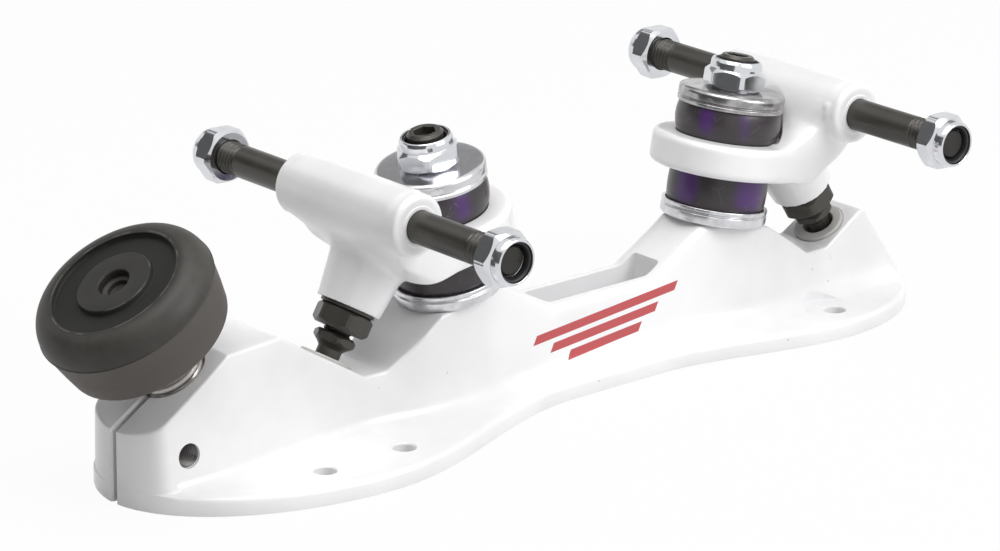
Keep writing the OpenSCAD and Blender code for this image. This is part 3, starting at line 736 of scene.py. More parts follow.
def soft_min(a, b, reach):
    """The smaller of two values, eased where they meet."""
    h = np.clip(0.5 + 0.5 * (b - a) / reach, 0, 1)
    return mix(b, a, h) - reach * h * (1 - h)


def run(rise, slope):
    """How far a slope of so many degrees goes while it rises."""
    return rise / math.tan(math.radians(slope))


print("a quarter of the way eases to", smooth(0.25))

# %% The plate's lines


def flange_half(x):
    if x < HEEL_MID_X:
        return HEEL_W / 2 * math.sqrt(max(0, 1 - ((HEEL_MID_X - x) / (HEEL_MID_X - HEEL_X)) ** 2))
    if x < WAIST_BACK_X:
        return mix(HEEL_W, WAIST_W, smooth((x - HEEL_MID_X) / (WAIST_BACK_X - HEEL_MID_X))) / 2
    if x < TOE_X:
        return mix(WAIST_W, TOE_W, smooth((x - WAIST_FRONT_X) / (TOE_X - WAIST_FRONT_X))) / 2
    return TOE_W / 2 * math.sqrt(max(0, 1 - ((x - TOE_X) / (NOSE_X - TOE_X)) ** 2))


def rib_half(x, z):
    u = abs(x) - HALF_WB
    swell = smooth((u + 44) / 22) * (1 - smooth((u + 13.5) / 15))
    wide = mix(RIB_W, NOSE_W, smooth((x - HALF_WB - 3.5) / (NOSE_REACH - 19))) / 2
    wide += (KING_W - RIB_W) / 2 * swell + (20 - z) * RIB_DRAFT
    limit = 0.92 * flange_half(x) if x < 0 else flange_half(x) - 0.25 - 0.012 * z
    return float(soft_min(wide, limit, 3))


def top_corners():
    """The rib's top line from heel to nose, with the radius of each corner."""
    drop = KING_FLAT * math.tan(math.radians(KING_TILT))
    inner = (KING_U - KING_FLAT, KING_Z + drop)
    outer = (KING_U + KING_FLAT, KING_Z - drop)
    foot = (outer[0] + run(outer[1] - VALLEY_Z, OUTER_SLOPE), VALLEY_Z)
    start = (inner[0] - run(inner[1] - RIB_Z, INNER_SLOPE), RIB_Z)

    def end_line(ridge_z):
        ridge = (VALLEY_U + run(ridge_z - VALLEY_Z, PIVOT_TILT), ridge_z)
        valley = (VALLEY_U, VALLEY_Z, 2.6)
        return [(*start, 5), (*inner, 2.2), (*outer, 3.2), (*foot, 4.2), valley, (*ridge, 1.6)]

    rear = [(-HALF_WB - u, z, r) for u, z, r in reversed(end_line(REAR_RIDGE_Z))]
    front = [(HALF_WB + u, z, r) for u, z, r in end_line(FRONT_RIDGE_Z)]
    heel_foot = rear[0][0] - run(REAR_RIDGE_Z - FLANGE_T, HEEL_SLOPE)
    slope_top = NOSE_X - run(FRONT_RIDGE_Z - NOSE_Z, NOSE_SLOPE)
    heel = [(HEEL_X - 1, FLANGE_T + 0.05, 0), (heel_foot, FLANGE_T + 0.05, 4)]
    return heel + rear + front + [(slope_top, FRONT_RIDGE_Z, 1.6), (NOSE_X, NOSE_Z, 0)]


TOP_PATH = np.array(rounded(top_corners(), 6))


def top_z(x):
    return float(np.interp(x, TOP_PATH[:, 0], TOP_PATH[:, 1]))


print("half widths at heel, waist and toe", [round(flange_half(x), 1) for x in (HEEL_MID_X, 0, TOE_X)])

# %% [markdown]
# At each station along the foot a section runs from the sole's edge over the flange, up a sweep into the
# rib's leaning wall and across the rib's top. Every section has the same number of points, so the skin is
# a plain grid of faces from one section to the next, and a Loft add-on isn't needed.

# %% The plate's skin


def half_section(x):
    f, h, w = flange_half(x), top_z(x), rib_half(x, FLANGE_T)
    edge = mix(1.8, 0.8, smooth((abs(x) - HALF_WB + 40) / 8))
    rt = min(edge, (h - FLANGE_T) * 0.3)
    re = min(1.4, (f - w) * 0.4)
    sweep = mix(6, 3.4, smooth((x + 10) / 60))
    r = max(0.05, min(sweep, f - re - w - 0.05, (h - FLANGE_T - rt) * 0.9))
    low = FLANGE_T + r
    wall, top = rib_half(x, low), rib_half(x, h)
    edge_arc, sweep_arc = np.radians([0, 22, 45, 67, 90]), np.radians(np.linspace(0, 90, 9))
    points = [(f - 0.35, 0), (f - 0.1, 0.1), (f, 0.35), (f, FLANGE_T / 2)]
    points += [(f - re * (1 - math.cos(a)), FLANGE_T - re * (1 - math.sin(a))) for a in edge_arc]
    points += [(mix(f - re, w + r, t), FLANGE_T) for t in (0.25, 0.5, 0.75)]
    points += [(wall + (w + r - wall) * (1 - math.sin(a)), FLANGE_T + r * (1 - math.cos(a)))
               for a in sweep_arc]
    points += [(rib_half(x, z), z) for z in (mix(low, h - rt, t) for t in (0.2, 0.4, 0.6, 0.8, 1.0))]
    points += [(top - rt * (1 - math.cos(a)), h - rt * (1 - math.sin(a))) for a in edge_arc[1:]]
    points += [((top - rt) * t, h) for t in (0.66, 0.33)]
    return points


def plate_stations():
    heel = [mix(HEEL_MID_X, HEEL_X, math.sin(math.radians(a))) for a in np.arange(0, 88.1, 1.6)]
    toe = [mix(TOE_X, NOSE_X, math.sin(math.radians(a))) for a in np.arange(0, 86.6, 1.2)]
    xs = np.concatenate([heel, toe, np.arange(HEEL_MID_X, TOE_X, 1.1), TOP_PATH[:, 0]])
    xs = np.unique(np.round(xs[(xs >= min(heel)) & (xs <= max(toe))], 2))
    return [x for i, x in enumerate(xs) if i == 0 or x - xs[i - 1] > 0.12 or x == xs[-1]]


def lofted(name, rings):
    """A closed skin over rings of equal count, with its faces outward."""
    n, last = len(rings[0]), len(rings) - 1
    faces = [[i * n + j, i * n + (j + 1) % n, (i + 1) * n + (j + 1) % n, (i + 1) * n + j]
             for i in range(last) for j in range(n)]
    faces += [list(range(n)), [last * n + j for j in range(n)]]
    mesh = bpy.data.meshes.new(name)
    mesh.from_pydata([point for ring in rings for point in ring], [], faces)
    bm = bmesh.new()
    bm.from_mesh(mesh)
    bmesh.ops.recalc_face_normals(bm, faces=bm.faces)
    bm.to_mesh(mesh)
    bm.free()
    return mesh


def plate_ring(x):
    half = half_section(x)
    far = [(x, -y, z) for y, z in reversed(half)]
    return [(x, y, z) for y, z in half] + [(x, 0, top_z(x))] + far + [(x, 0, 0)]


PLATE_SKIN = lofted("plate_skin", [plate_ring(x) for x in plate_stations()])
print("plate skin of", len(PLATE_SKIN.polygons), "faces")

# %% [markdown]
# Holes, bores, the clamp's slit and the lightening pocket are cut afterwards with Boolean modifiers,
# because rings of faces round each hole would upset the loft. Each cutter flares a little at its mouth,
# so the paint appears to roll over the edge instead of ending in a razor line.

# %% Cutters


def cut(mesh, *cutters):
    """Takes each cutter out of the mesh in turn, and returns the plain result."""
    body = placed("being_cut", mesh)
    tools = [placed("cutter", cutter) for cutter in cutters]
    for tool in tools:
        modifier = body.modifiers.new("cut", "BOOLEAN")
        modifier.object = tool
        modifier.operation = "DIFFERENCE"
        modifier.solver = "EXACT"
    result = plain_mesh(body)
    for tool in tools:
        bpy.data.objects.remove(tool)
    return result


def drill(steps, around=64):
    """A cutter round Z from (z, r, fillet) steps: each step is a corner of its outline."""
    outline = [(0, steps[0][0], 0)] + [(r, z, fillet) for z, r, fillet in steps] + [(0, steps[-1][0], 0)]
    return spun(rounded(outline), around)


def soft_box(low, high, radius, arc_steps=6):
    """A box cutter whose upright edges are round."""
    (x0, y0, z0), (x1, y1, z1) = low, high
    left, right, near, far = x0 + radius, x1 - radius, y0 + radius, y1 - radius
    outline = []
    for cx, cy, start in ((right, far, 0), (left, far, 90), (left, near, 180), (right, near, 270)):
        for k in range(arc_steps + 1):
            a = math.radians(start + 90 * k / arc_steps)
            outline.append((cx + radius * math.cos(a), cy + radius * math.sin(a)))
    n = len(outline)
    mesh = bpy.data.meshes.new("soft_box")
    faces = [list(range(n))[::-1], [n + i for i in range(n)]]
    faces += [[i, (i + 1) % n, n + (i + 1) % n, n + i] for i in range(n)]
    mesh.from_pydata([(x, y, z0) for x, y in outline] + [(x, y, z1) for x, y in outline], [], faces)
    return mesh


def slit_bevel():
    """A shallow wedge that follows the slit's mouth up the nose's front and along its slope."""
    slope = math.radians(NOSE_SLOPE)
    bend = slope / 2 + math.pi / 4
    path = [(NOSE_X, -2, 1.0, 0.0), (NOSE_X, NOSE_Z, math.sin(bend), math.cos(bend)),
            (STEM_X, STEM_Z, math.sin(slope), math.cos(slope))]
    wedge = ((1.75, 0.6), (0.55, -0.9), (-0.55, -0.9), (-1.75, 0.6))
    rings = [[(x + nx * off, y, z + nz * off) for y, off in wedge] for x, z, nx, nz in path]
    return lofted("slit_bevel", rings)


SLIT_BEVEL = slit_bevel()
print("slit bevel of", len(SLIT_BEVEL.polygons), "faces")

# %% The plate, with its holes
BOOT_R = 2.75
FRONT_BOOT_X, FRONT_BOOT_DX, FRONT_BOOT_Y = HALF_WB + 17.6, 11.9, 23.8
REAR_BOOT_X, REAR_BOOT_Y = -HALF_WB + 1.2, 17.7
POCKET_LOW, POCKET_HIGH = (-21.4, -4.8, 6), (15.4, 4.8, 60)
KING_BORE, STEM_R, STEM_BORE, SLIT_HALF = 4.77, 7.95, 8.01, 0.75
PINCH_HEAD_H = 5.4
PINCH_SEAT = PINCH_HEAD_H - NOSE_W / 2


def boot_holes():
    face = FLANGE_T + 0.02
    front = drill([(-1, BOOT_R, 0), (FLANGE_T - 0.35, BOOT_R, 0.2), (face, 3.15, 0), (9, 3.15, 0)])
    rear = drill([(-1, BOOT_R, 0), (FLANGE_T - 0.3, BOOT_R, 0.2), (face, 3.05, 0.1), (face, 7.8, 0.5),
                  (30, 7.8, 0)])
    sides = (-1, 1)
    fronts = [(FRONT_BOOT_X + sx * FRONT_BOOT_DX, sy * FRONT_BOOT_Y) for sx in sides for sy in sides]
    rears = [(REAR_BOOT_X, sy * REAR_BOOT_Y) for sy in sides]
    return [(front, shift(*spot)) for spot in fronts] + [(rear, shift(*spot)) for spot in rears]


def plate_casting():
    holes = boot_holes() + [(soft_box(POCKET_LOW, POCKET_HIGH, 1.2), Matrix())]
    king = drill([(-22, KING_BORE, 0), (10, KING_BORE, 0)])
    cup = drill([(-10.2, 5.72, 0), (-0.3, 5.72, 0), (-0.3, 6.8, 0), (8, 6.8, 0)])
    for end in ENDS:
        holes += [(king, at_end(end) @ on_kingpin()), (cup, at_end(end) @ on_pivot())]
    stem = drill([(-26.6, STEM_BORE, 0), (-0.9, STEM_BORE, 0.3), (0.05, 8.7, 0), (20, 8.7, 0)], 96)
    slit_back = STEM_X - STEM_Z * math.tan(math.radians(NOSE_SLOPE)) + STEM_R
    slit = soft_box((slit_back, -SLIT_HALF, -1), (slit_back + 80, SLIT_HALF, 80), 0.2)
    pinch = drill([(-30, 5.0, 0), (PINCH_SEAT, 5.0, 0.2), (PINCH_SEAT, 2.4, 0),
                   (11.9, 2.4, 0), (12.75, 3.0, 0.2), (30, 3.0, 0)])
    tapped = threaded(2.77, 14, pitch=0.8, depth=0.36, around=48, per_turn=8)
    across = shift(PINCH_X, 0, PINCH_Z) @ turn(-90, "X")
    return cut(PLATE_SKIN, joined(*holes), joined((stem, on_stem())), slit, SLIT_BEVEL,
               joined((pinch, across)), joined((tapped, across @ shift(z=6.6))))


piece("plate_casting", plate_casting(), Matrix(), PAINT_PLATE, "base_plate", "plate", 28)

# %% [markdown]
# A truck is a second casting. Its forms melt into each other, which is hard to model with edges, so its
# surface is the zero level of a distance field: a sleeve, a ring, an arm, two cheeks, a boss and a web,
# joined by a soft minimum. Metaballs would do the same, but with no say over sizes. The slanted forms
# start as hulls of circles.

# %% The truck's sizes, and hulls
ACROSS = shift(z=AXLE_Z) @ turn(90, "X")
BOSS_GAP, BOSS_R, BOSS_L, BOSS_FLARE = 13.6, 7.9, 20, 0.135
SLEEVE_R, SLEEVE_HALF = 7.6, 22.3
RING_R, RING_MID, RING_HALF = 18.1, 0.4, 4.2
AXLE_BORE, STUD_BORE = 4.02, 3.52


def circle(matrix, radius, height=0.0, count=40):
    return [matrix @ Vector((radius * math.cos(a), radius * math.sin(a), height)) for a in even_angles(count)]


def bar_points(radius, half, u=0.0, z=AXLE_Z):
    across = shift(u, 0, z) @ turn(90, "X")
    return circle(across, radius, -half) + circle(across, radius, half)


def hull(points):
    """The convex hull's mesh, and its planes."""
    bm = bmesh.new()
    for p in points:
        bm.verts.new(p)
    bmesh.ops.convex_hull(bm, input=bm.verts)
    loose = [v for v in bm.verts if not v.link_faces]
    bmesh.ops.delete(bm, geom=loose, context="VERTS")
    bmesh.ops.recalc_face_normals(bm, faces=bm.faces)
    mesh = bpy.data.meshes.new("hull")
    bm.to_mesh(mesh)
    planes = np.array([[*f.normal, f.normal.dot(f.verts[0].co)] for f in bm.faces])
    bm.free()
    return mesh, np.unique(np.round(planes, 4), axis=0)


print("ring from", round(RING_Q + RING_MID - RING_HALF, 2), "mm over the kingpin's seat")

# %% The truck's slanted forms


def arm_hull():
    """The arm rises from two posts outside the ring's bore to the sleeve."""
    seat = on_kingpin(RING_Q - 4.2)
    points = bar_points(6.9, 17.3)
    for side in (-1, 1):
        crest, low = seat @ shift(14.2, side * 9.6), seat @ shift(15.1, side * 11.3)
        points += circle(crest, 3.8) + circle(crest, 3.8, 8.4) + circle(low, 4.4) + circle(low, 4.4, 3)
    return hull(points)


def cheek_hull():
    """Cheeks carry the ring's sides to the sleeve: their crests rise to it, their undersides run level."""
    points = bar_points(3.5, 17.6, -2, AXLE_Z - 9) + bar_points(2.4, 18.2, -3.8, AXLE_Z - 3.7)
    for side in (-1, 1):
        post = on_kingpin(RING_Q - 4.0) @ shift(4, side * 12.8)
        corner = on_kingpin(RING_Q - 4.8) @ shift(12.4, side * 12.7)
        crest = on_kingpin(RING_Q + 3.8) @ shift(6.2, side * 14.6)
        points += circle(post, 4.3) + circle(post, 4.3, 3.2) + circle(corner, 5.0) + circle(crest, 2.2)
    return hull(points)


def web_hull():
    points = bar_points(6.4, 19.5) + bar_points(3.4, 17.5, -2, AXLE_Z - 9)
    points += circle(on_pivot(25.1), 8.73) + circle(on_pivot(28.1), 8.73)
    return hull(points)


ARM_MESH, ARM_PLANES = arm_hull()
CHEEK_MESH, CHEEK_PLANES = cheek_hull()
WEB_MESH, WEB_PLANES = web_hull()
print("planes of arm, cheeks and web", len(ARM_PLANES), len(CHEEK_PLANES), len(WEB_PLANES))

# %% The truck's distance field


def in_frame(points, matrix):
    inverse = np.array(matrix.inverted())
    return points @ inverse[:3, :3].T + inverse[:3, 3]


def round_disc(radial, axial, radius, half, edge):
    dx, dz = radial - (radius - edge), np.abs(axial) - (half - edge)
    return np.hypot(np.maximum(dx, 0), np.maximum(dz, 0)) + np.minimum(np.maximum(dx, dz), 0) - edge


def soft_hull(points, planes, edge):
    away = points @ planes[:, :3].T - planes[:, 3]
    top = away.max(axis=1)
    return top + edge * np.log(np.exp((away - top[:, None]) / edge).sum(axis=1)) - edge * 0.9


def casting_nub(points):
    """A small fold left by the mould where a crest meets the sleeve, on one side only."""
    low, high = (np.array(on_kingpin(RING_Q + q) @ Vector((u, y, 0)))
                 for u, y, q in ((15.9, -18.9, 13.2), (15.3, -18.7, 16.2)))
    along = high - low
    t = np.clip((points - low) @ along / (along @ along), 0, 1)
    return np.linalg.norm(points - low - t[:, None] * along, axis=1) - 0.7


def truck_field(points):
    from_axle = np.hypot(points[:, 0], points[:, 2] - AXLE_Z)
    sleeve = round_disc(from_axle, points[:, 1], SLEEVE_R, SLEEVE_HALF, 1.3)
    local = in_frame(points, on_kingpin(RING_Q))
    ring = round_disc(np.hypot(local[:, 0], local[:, 1]), local[:, 2] - RING_MID, RING_R, RING_HALF, 1.7)
    local = in_frame(points, on_pivot(BOSS_GAP))
    radial = np.hypot(local[:, 0], local[:, 1])
    cone = (radial - BOSS_R - BOSS_FLARE * local[:, 2]) / math.hypot(1, BOSS_FLARE)
    boss = np.maximum(cone, np.maximum(-local[:, 2], local[:, 2] - BOSS_L))
    body = soft_min(sleeve, soft_hull(points, ARM_PLANES, 0.35), 2.4)
    body = soft_min(body, ring, 1.2)
    body = soft_min(body, soft_hull(points, CHEEK_PLANES, 0.35), 1.6)
    body = soft_min(body, casting_nub(points), 1.0)
    body = soft_min(body, soft_hull(points, WEB_PLANES, 0.6), 2.6)
    return soft_min(body, boss, 2.2)


def field_slope(points, step=0.02):
    slope = np.empty_like(points)
    for axis in range(3):
        offset = np.zeros(3)
        offset[axis] = step
        slope[:, axis] = (truck_field(points + offset) - truck_field(points - offset)) / (2 * step)
    return slope


print("the field at the axle is", round(float(truck_field(np.array([[0.0, 0.0, AXLE_Z]]))[0]), 2), "mm")

# %% [markdown]
# A Voxel Remesh of the rough forms gives an even mesh, and each of its points is then moved onto the
# field's zero level by a few Newton steps. Marching cubes would also find the level, but this keeps the
# faces even. The bores are cut last, and a machined collar stands at each end of the sleeve.

# %% The truck castings


def drum(radius, low, high, around, top_radius=None):
    return spun([(0, low), (radius, low), (top_radius or radius, high), (0, high)], around)


def truck_skin():
    sleeve = drum(SLEEVE_R, -SLEEVE_HALF, SLEEVE_HALF, 64)
    ring = drum(RING_R, RING_MID - RING_HALF, RING_MID + RING_HALF, 96)
    boss = drum(BOSS_R, 0, BOSS_L, 64, BOSS_R + BOSS_FLARE * BOSS_L)
    rough = joined((sleeve, ACROSS), (ring, on_kingpin(RING_Q)), (boss, on_pivot(BOSS_GAP)),
                   (ARM_MESH, Matrix()), (CHEEK_MESH, Matrix()), (WEB_MESH, Matrix()))
    lump = placed("truck_lump", rough)
    remesh = lump.modifiers.new("voxels", "REMESH")
    remesh.mode = "VOXEL"
    remesh.voxel_size = 0.5
    mesh = plain_mesh(lump)
    points = np.empty(len(mesh.vertices) * 3)
    mesh.vertices.foreach_get("co", points)
    points = points.reshape(-1, 3)
    for _ in range(5):
        slope = field_slope(points)
        step = truck_field(points) / np.maximum((slope ** 2).sum(axis=1), 0.2)
        points = points - np.clip(step, -0.8, 0.8)[:, None] * slope
    mesh.vertices.foreach_set("co", points.ravel())
    mesh.update()
    left_off = float(np.abs(truck_field(points)).mean())
    print("truck skin", len(mesh.vertices), "points, left off the level by", round(left_off, 4))
    return mesh


def truck_casting():
    axle_bore = drill([(-40, AXLE_BORE, 0), (40, AXLE_BORE, 0)])
    half_web, seat_r, hole_r, clear_r = RING_WEB / 2, 12.6, 6.7, 14.9
    ring_bore = drill([(-40, seat_r, 0), (-half_web, seat_r, 0.5), (-half_web, hole_r, 0.3),
                       (half_web, hole_r, 0.3), (half_web, seat_r, 0.5), (5.0, seat_r, 0.3), (5.0, 14.0, 0.6),
                       (8.5, 14.0, 4.0), (14.0, clear_r, 4.0), (60, clear_r, 0)], 96)
    stud_bore = drill([(-1, STUD_BORE, 0), (15, STUD_BORE, 0)])
    cutters = joined((axle_bore, ACROSS), (ring_bore, on_kingpin(RING_Q)), (stud_bore, on_pivot(BOSS_GAP)))
    casting = cut(truck_skin(), cutters)
    collar_corners = [(AXLE_BORE, -0.6, 0), (5.0, -0.6, 0), (5.0, 0.22, 0.2), (AXLE_BORE, 0.22, 0.1)]
    collar = spun(rounded(collar_corners), 64)
    collars = [(collar, shift(0, side * SLEEVE_HALF, AXLE_Z) @ turn(-90 * side, "X")) for side in (1, -1)]
    return joined((casting, Matrix()), *collars)


TRUCK = truck_casting()
for end in ENDS:
    body = f"{end}_truck_body"
    piece(f"{end}_truck_casting", TRUCK, at_end(end), PAINT_TRUCK, f"{end}_truck", body, 40)

# %% [markdown]
# Each axle is a plain rod, threaded only at its ends, with a lock nut that leaves a few turns bare. The
# thread tree takes the plain length as an input, so the rod stays one mesh, and the nut tree stands a nut
# at either end.

# %% Axles and axle nuts
AXLE_HALF, AXLE_INSET, AXLE_PLAIN_HALF = 56.7, 1.8, 42.5
NUT_H = 8.0
AXLE_NUT_SIZES = (12.8, NUT_H, 5.4, AXLE_BORE)
AXLE_L = 2 * AXLE_HALF - 2 * AXLE_INSET
AXLE_ROD = threaded(4.0, AXLE_L, pitch=1.25, depth=0.62, plain_half=AXLE_PLAIN_HALF)
AXLE_NUT = lock_nut(*AXLE_NUT_SIZES)
AXLE_RING = nylon_ring(*AXLE_NUT_SIZES)
NUT_SEATS = [((0, AXLE_HALF - NUT_H, AXLE_Z), (-90, 0, 0)), ((0, NUT_H - AXLE_HALF, AXLE_Z), (90, 0, 0))]
for end in ENDS:
    body = f"{end}_truck_body"
    here = at_end(end)
    nuts = on_points(AXLE_NUT, NUT_SEATS, BRIGHT_ZINC)
    rings = on_points(AXLE_RING, NUT_SEATS, NYLON)
    piece(f"{end}_axle_rod", AXLE_ROD, here @ ACROSS, BLACK_STEEL, f"{end}_axle", body)
    piece(f"{end}_axle_lock_nuts", nuts, here, BRIGHT_ZINC, f"{end}_axle_nuts", body)
    piece(f"{end}_axle_nylon_rings", rings, here, NYLON, f"{end}_axle_nut_inserts", body)

# %% [markdown]
# The kingpin stack: a screw with a hex socket in its end, a lock nut, two pressed cup washers and two
# cushions. A cushion is squeezed, so it swells between its seats.

# %% Kingpin, nut and washer
KING_NUT_H = 7.6
KING_NUT_SIZES = (14.2, KING_NUT_H, 5.1, KING_BORE)
KING_TOP = NUT_Q + KING_NUT_H + 1
KING_FOOT = 21.5
STACK_BORE, WASHER_R = 4.95, 13.4


def socket_screw_end(radius, across, depth, length):
    hexagon = hex_radius(across, 0.05)
    return spun([(0, -length), (radius, -length), (radius, -0.7), (radius - 0.7, 0), (hexagon + 0.25, 0),
                 (hexagon, -0.25), (hexagon, -depth), (0, -depth - 0.6)], HEX_ANGLES)


def king_screw():
    rod = threaded(4.75, KING_TOP + (KING_FOOT - 2), pitch=1.2, depth=0.55, plain_half=8.0)
    rod_mid = (KING_TOP - KING_FOOT) / 2 - 1
    return joined((rod, shift(z=rod_mid)), (socket_screw_end(4.45, 5, 3.2, 4), shift(z=KING_TOP)))


def cup_washer():
    groove = [(WASHER_R, 2.5, 0.15), (12.92, 2.9, 0.12), (WASHER_R, 3.3, 0.15)]
    cup = [(WASHER_R, 4.2, 0.3), (12.5, 4.2, 0.3), (12.5, WASHER_T, 0.8), (STACK_BORE, WASHER_T, 0.12)]
    return spun(rounded([(STACK_BORE, 0, 0.12), (WASHER_R, 0, 1.7)] + groove + cup, 5), 128)


KING_SCREW = king_screw()
KING_NUT = lock_nut(*KING_NUT_SIZES)
KING_RING = nylon_ring(*KING_NUT_SIZES)
WASHER = cup_washer()
print("kingpin ends at", round(KING_TOP, 1), "mm over its seat")

# %% Cushions
CUSHION_R = 12.2


def plain_barrel(bulge):
    """A squeezed cushion swells between its seats."""
    low, high, wall_r = 0.02, CUSHION_H - 0.02, CUSHION_R + 0.05
    profile = rounded([(STACK_BORE, low, 0), (CUSHION_R, low, 0.9), (wall_r, 6.4, 0), (CUSHION_R, high, 0.9),
                       (STACK_BORE, high, 0), (STACK_BORE, 8, 0), (STACK_BORE, 4, 0)], 5)
    profile = [p for p in profile if not (p[0] > 12 and 2 < p[1] < 11)]
    start = next(i for i, p in enumerate(profile) if p[1] > 11)
    profile[start:start] = [(wall_r, z) for z in np.linspace(2.2, 10.8, 15)]
    hump = [max(0.0, 1 - ((z - 6.6) / 4.3) ** 2) ** 0.8 if r > 12 else 0.0 for r, z in profile]
    return spun([(r + h * bulge, z) for (r, z), h in zip(profile, hump)], 96)


def cushion_barrel(bulge, painted_glow_spots):
    """The barrel, with an attribute of painted light, a glow painted where light would come through: angles,
    widths and strengths.
    """
    mesh = plain_barrel(bulge)
    spots = np.empty(len(mesh.vertices) * 3)
    mesh.vertices.foreach_get("co", spots)
    x, y, z = spots.reshape(-1, 3).T
    facing = np.arctan2(y, x)
    glow = 0
    for angle, width, strength in painted_glow_spots:
        aside = np.angle(np.exp(1j * (facing - math.radians(angle))))
        glow = glow + strength * np.exp(-(aside / math.radians(width)) ** 2)
    glow = np.minimum(glow, 1) * np.clip((z - 1.5) / 4, 0, 1)
    mesh.attributes.new("glow", "FLOAT", "POINT").data.foreach_set("value", glow.astype(np.float32))
    return mesh


# Painted light: each spot gives the angle, width and strength of glow painted into a cushion's colour.
LOWER_CUSHION = cushion_barrel(0.35, [(186, 14, 1.5), (268, 19, 1.4)])
UPPER_CUSHION = cushion_barrel(1.05, [(82, 12, 0.75), (200, 10, 0.85), (244, 9, 0.5)])
print("cushions of", len(LOWER_CUSHION.polygons), "and", len(UPPER_CUSHION.polygons), "faces")

# %% The two kingpin stacks
STACK_CUSHIONS = (("lower", LOWER_CUSHION, WASHER_T, WEB_Q),
                  ("upper", UPPER_CUSHION, NUT_Q - WASHER_T, WEB_Q + RING_WEB))


def stacked(end, name, mesh, q, material, node, flip=0, spin=0, body="plate"):
    place = at_end(end) @ on_kingpin(q) @ turn(flip, "X") @ turn(spin, "Z")
    return piece(f"{end}_{name}", mesh, place, material, f"{end}_{node}", body)


for end in ENDS:
    nut_spin, upper_finish = (-11, SATIN_PLATE) if end == "front" else (0, SCUFFED_PLATE)
    stacked(end, "kingpin_screw", KING_SCREW, 0, BLACK_STEEL, "kingpin")
    stacked(end, "kingpin_lock_nut", KING_NUT, NUT_Q, BRIGHT_ZINC, "kingpin_nut", 0, nut_spin)
    stacked(end, "kingpin_nylon_ring", KING_RING, NUT_Q, NYLON, "kingpin_nut_insert")
    stacked(end, "lower_cup_washer", WASHER, 0, SATIN_PLATE, "lower_washer")
    stacked(end, "upper_cup_washer", WASHER, NUT_Q, upper_finish, "upper_washer", flip=180)
    for level, mesh, plate_q, truck_q in STACK_CUSHIONS:
        cushion = stacked(end, f"{level}_urethane_cushion", mesh, min(plate_q, truck_q), URETHANE,
                          f"{level}_cushion", body=None)
        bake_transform(cushion)

# %% [markdown]
# The pivot: a stud screwed into the truck's boss, locked by a thin nut and a washer, with a hex of its
# own, a waist and a ball that sits in a plastic cup in the plate. It is turned, hexed and threaded, so
# the helpers above make it whole, and no new way is needed.

# %% Pivot studs, lock nuts and cups
BALL_Z, BALL_R, SEAT_R = -4.2, 4, 4.06
STUD_WASHER_T, STUD_NUT_H, STUD_HEX_H = 0.8, 5.2, 2.6
STUD_HEX_K = BOSS_GAP - STUD_WASHER_T - STUD_NUT_H - 1 - STUD_HEX_H


def ball_arc(radius, to_angle, count):
    angles = np.radians(np.linspace(0, to_angle, count))
    return [(radius * math.sin(a), BALL_Z - radius * math.cos(a)) for a in angles]


def pivot_stud():
    top = STUD_HEX_K + 0.02
    neck = rounded([(3.0, -1.6, 0), (3.0, STUD_HEX_K - 1.2, 0.8), (3.9, STUD_HEX_K - 0.3, 0.3), (4.4, top, 0),
                    (0, top, 0)])
    thread_l = BOSS_GAP + 14.5 - STUD_HEX_K
    return joined((spun(ball_arc(BALL_R, 128, 18) + neck, 64), Matrix()),
                  (hex_nut(9.6, STUD_HEX_H, 1.0), shift(z=STUD_HEX_K)),
                  (threaded(3.5, thread_l, pitch=1.1, depth=0.5), shift(z=STUD_HEX_K + thread_l / 2)))


def pivot_cup():
    outside = rounded([(SEAT_R, 0.8, 0.3), (6.5, 0.8, 0.45), (6.5, -0.29, 0), (5.7, -0.29, 0), (5.7, -9.9, 0),
                       (0, -9.9, 0)])
    return spun(ball_arc(SEAT_R, 90, 10) + outside, 72)


STUD = pivot_stud()
STUD_NUT = hex_nut(13, STUD_NUT_H, STUD_BORE)
STUD_WASHER = spun(rounded([(STUD_BORE, 0, 0), (6.8, 0, 0.2), (6.8, STUD_WASHER_T, 0.2),
                            (STUD_BORE, STUD_WASHER_T, 0)]), 64)
CUP = pivot_cup()
NUT_K, WASHER_K = BOSS_GAP - STUD_WASHER_T - STUD_NUT_H, BOSS_GAP - STUD_WASHER_T
STUD_PIECES = (("ball_stud", STUD, 0, "pivot_stud"), ("stud_lock_nut", STUD_NUT, NUT_K, "pivot_lock_nut"),
               ("stud_washer", STUD_WASHER, WASHER_K, "pivot_washer"))
for end in ENDS:
    body = f"{end}_truck_body"
    for name, mesh, k, node in STUD_PIECES:
        place = at_end(end) @ on_pivot(k)
        piece(f"{end}_{name}", mesh, place, BLACK_STEEL, f"{end}_{node}", body)
    place = at_end(end) @ on_pivot()
    piece(f"{end}_ball_cup", CUP, place, CUP_PLASTIC, f"{end}_pivot_cup", "plate")

# %% [markdown]
# The toe stop: a rubber block on a threaded stem, with a steel washer under it. The block's seam, sunken
# ring and blind hole are corners of one turned profile, which stays cleaner than cutting them from a
# cylinder.

# %% Toe stop
STEM_DEPTH = 18
STEM_L = STEM_DEPTH + STOP_RISE + 12.1
BLOCK_BORE, STOP_WASHER_T = 7.97, 2


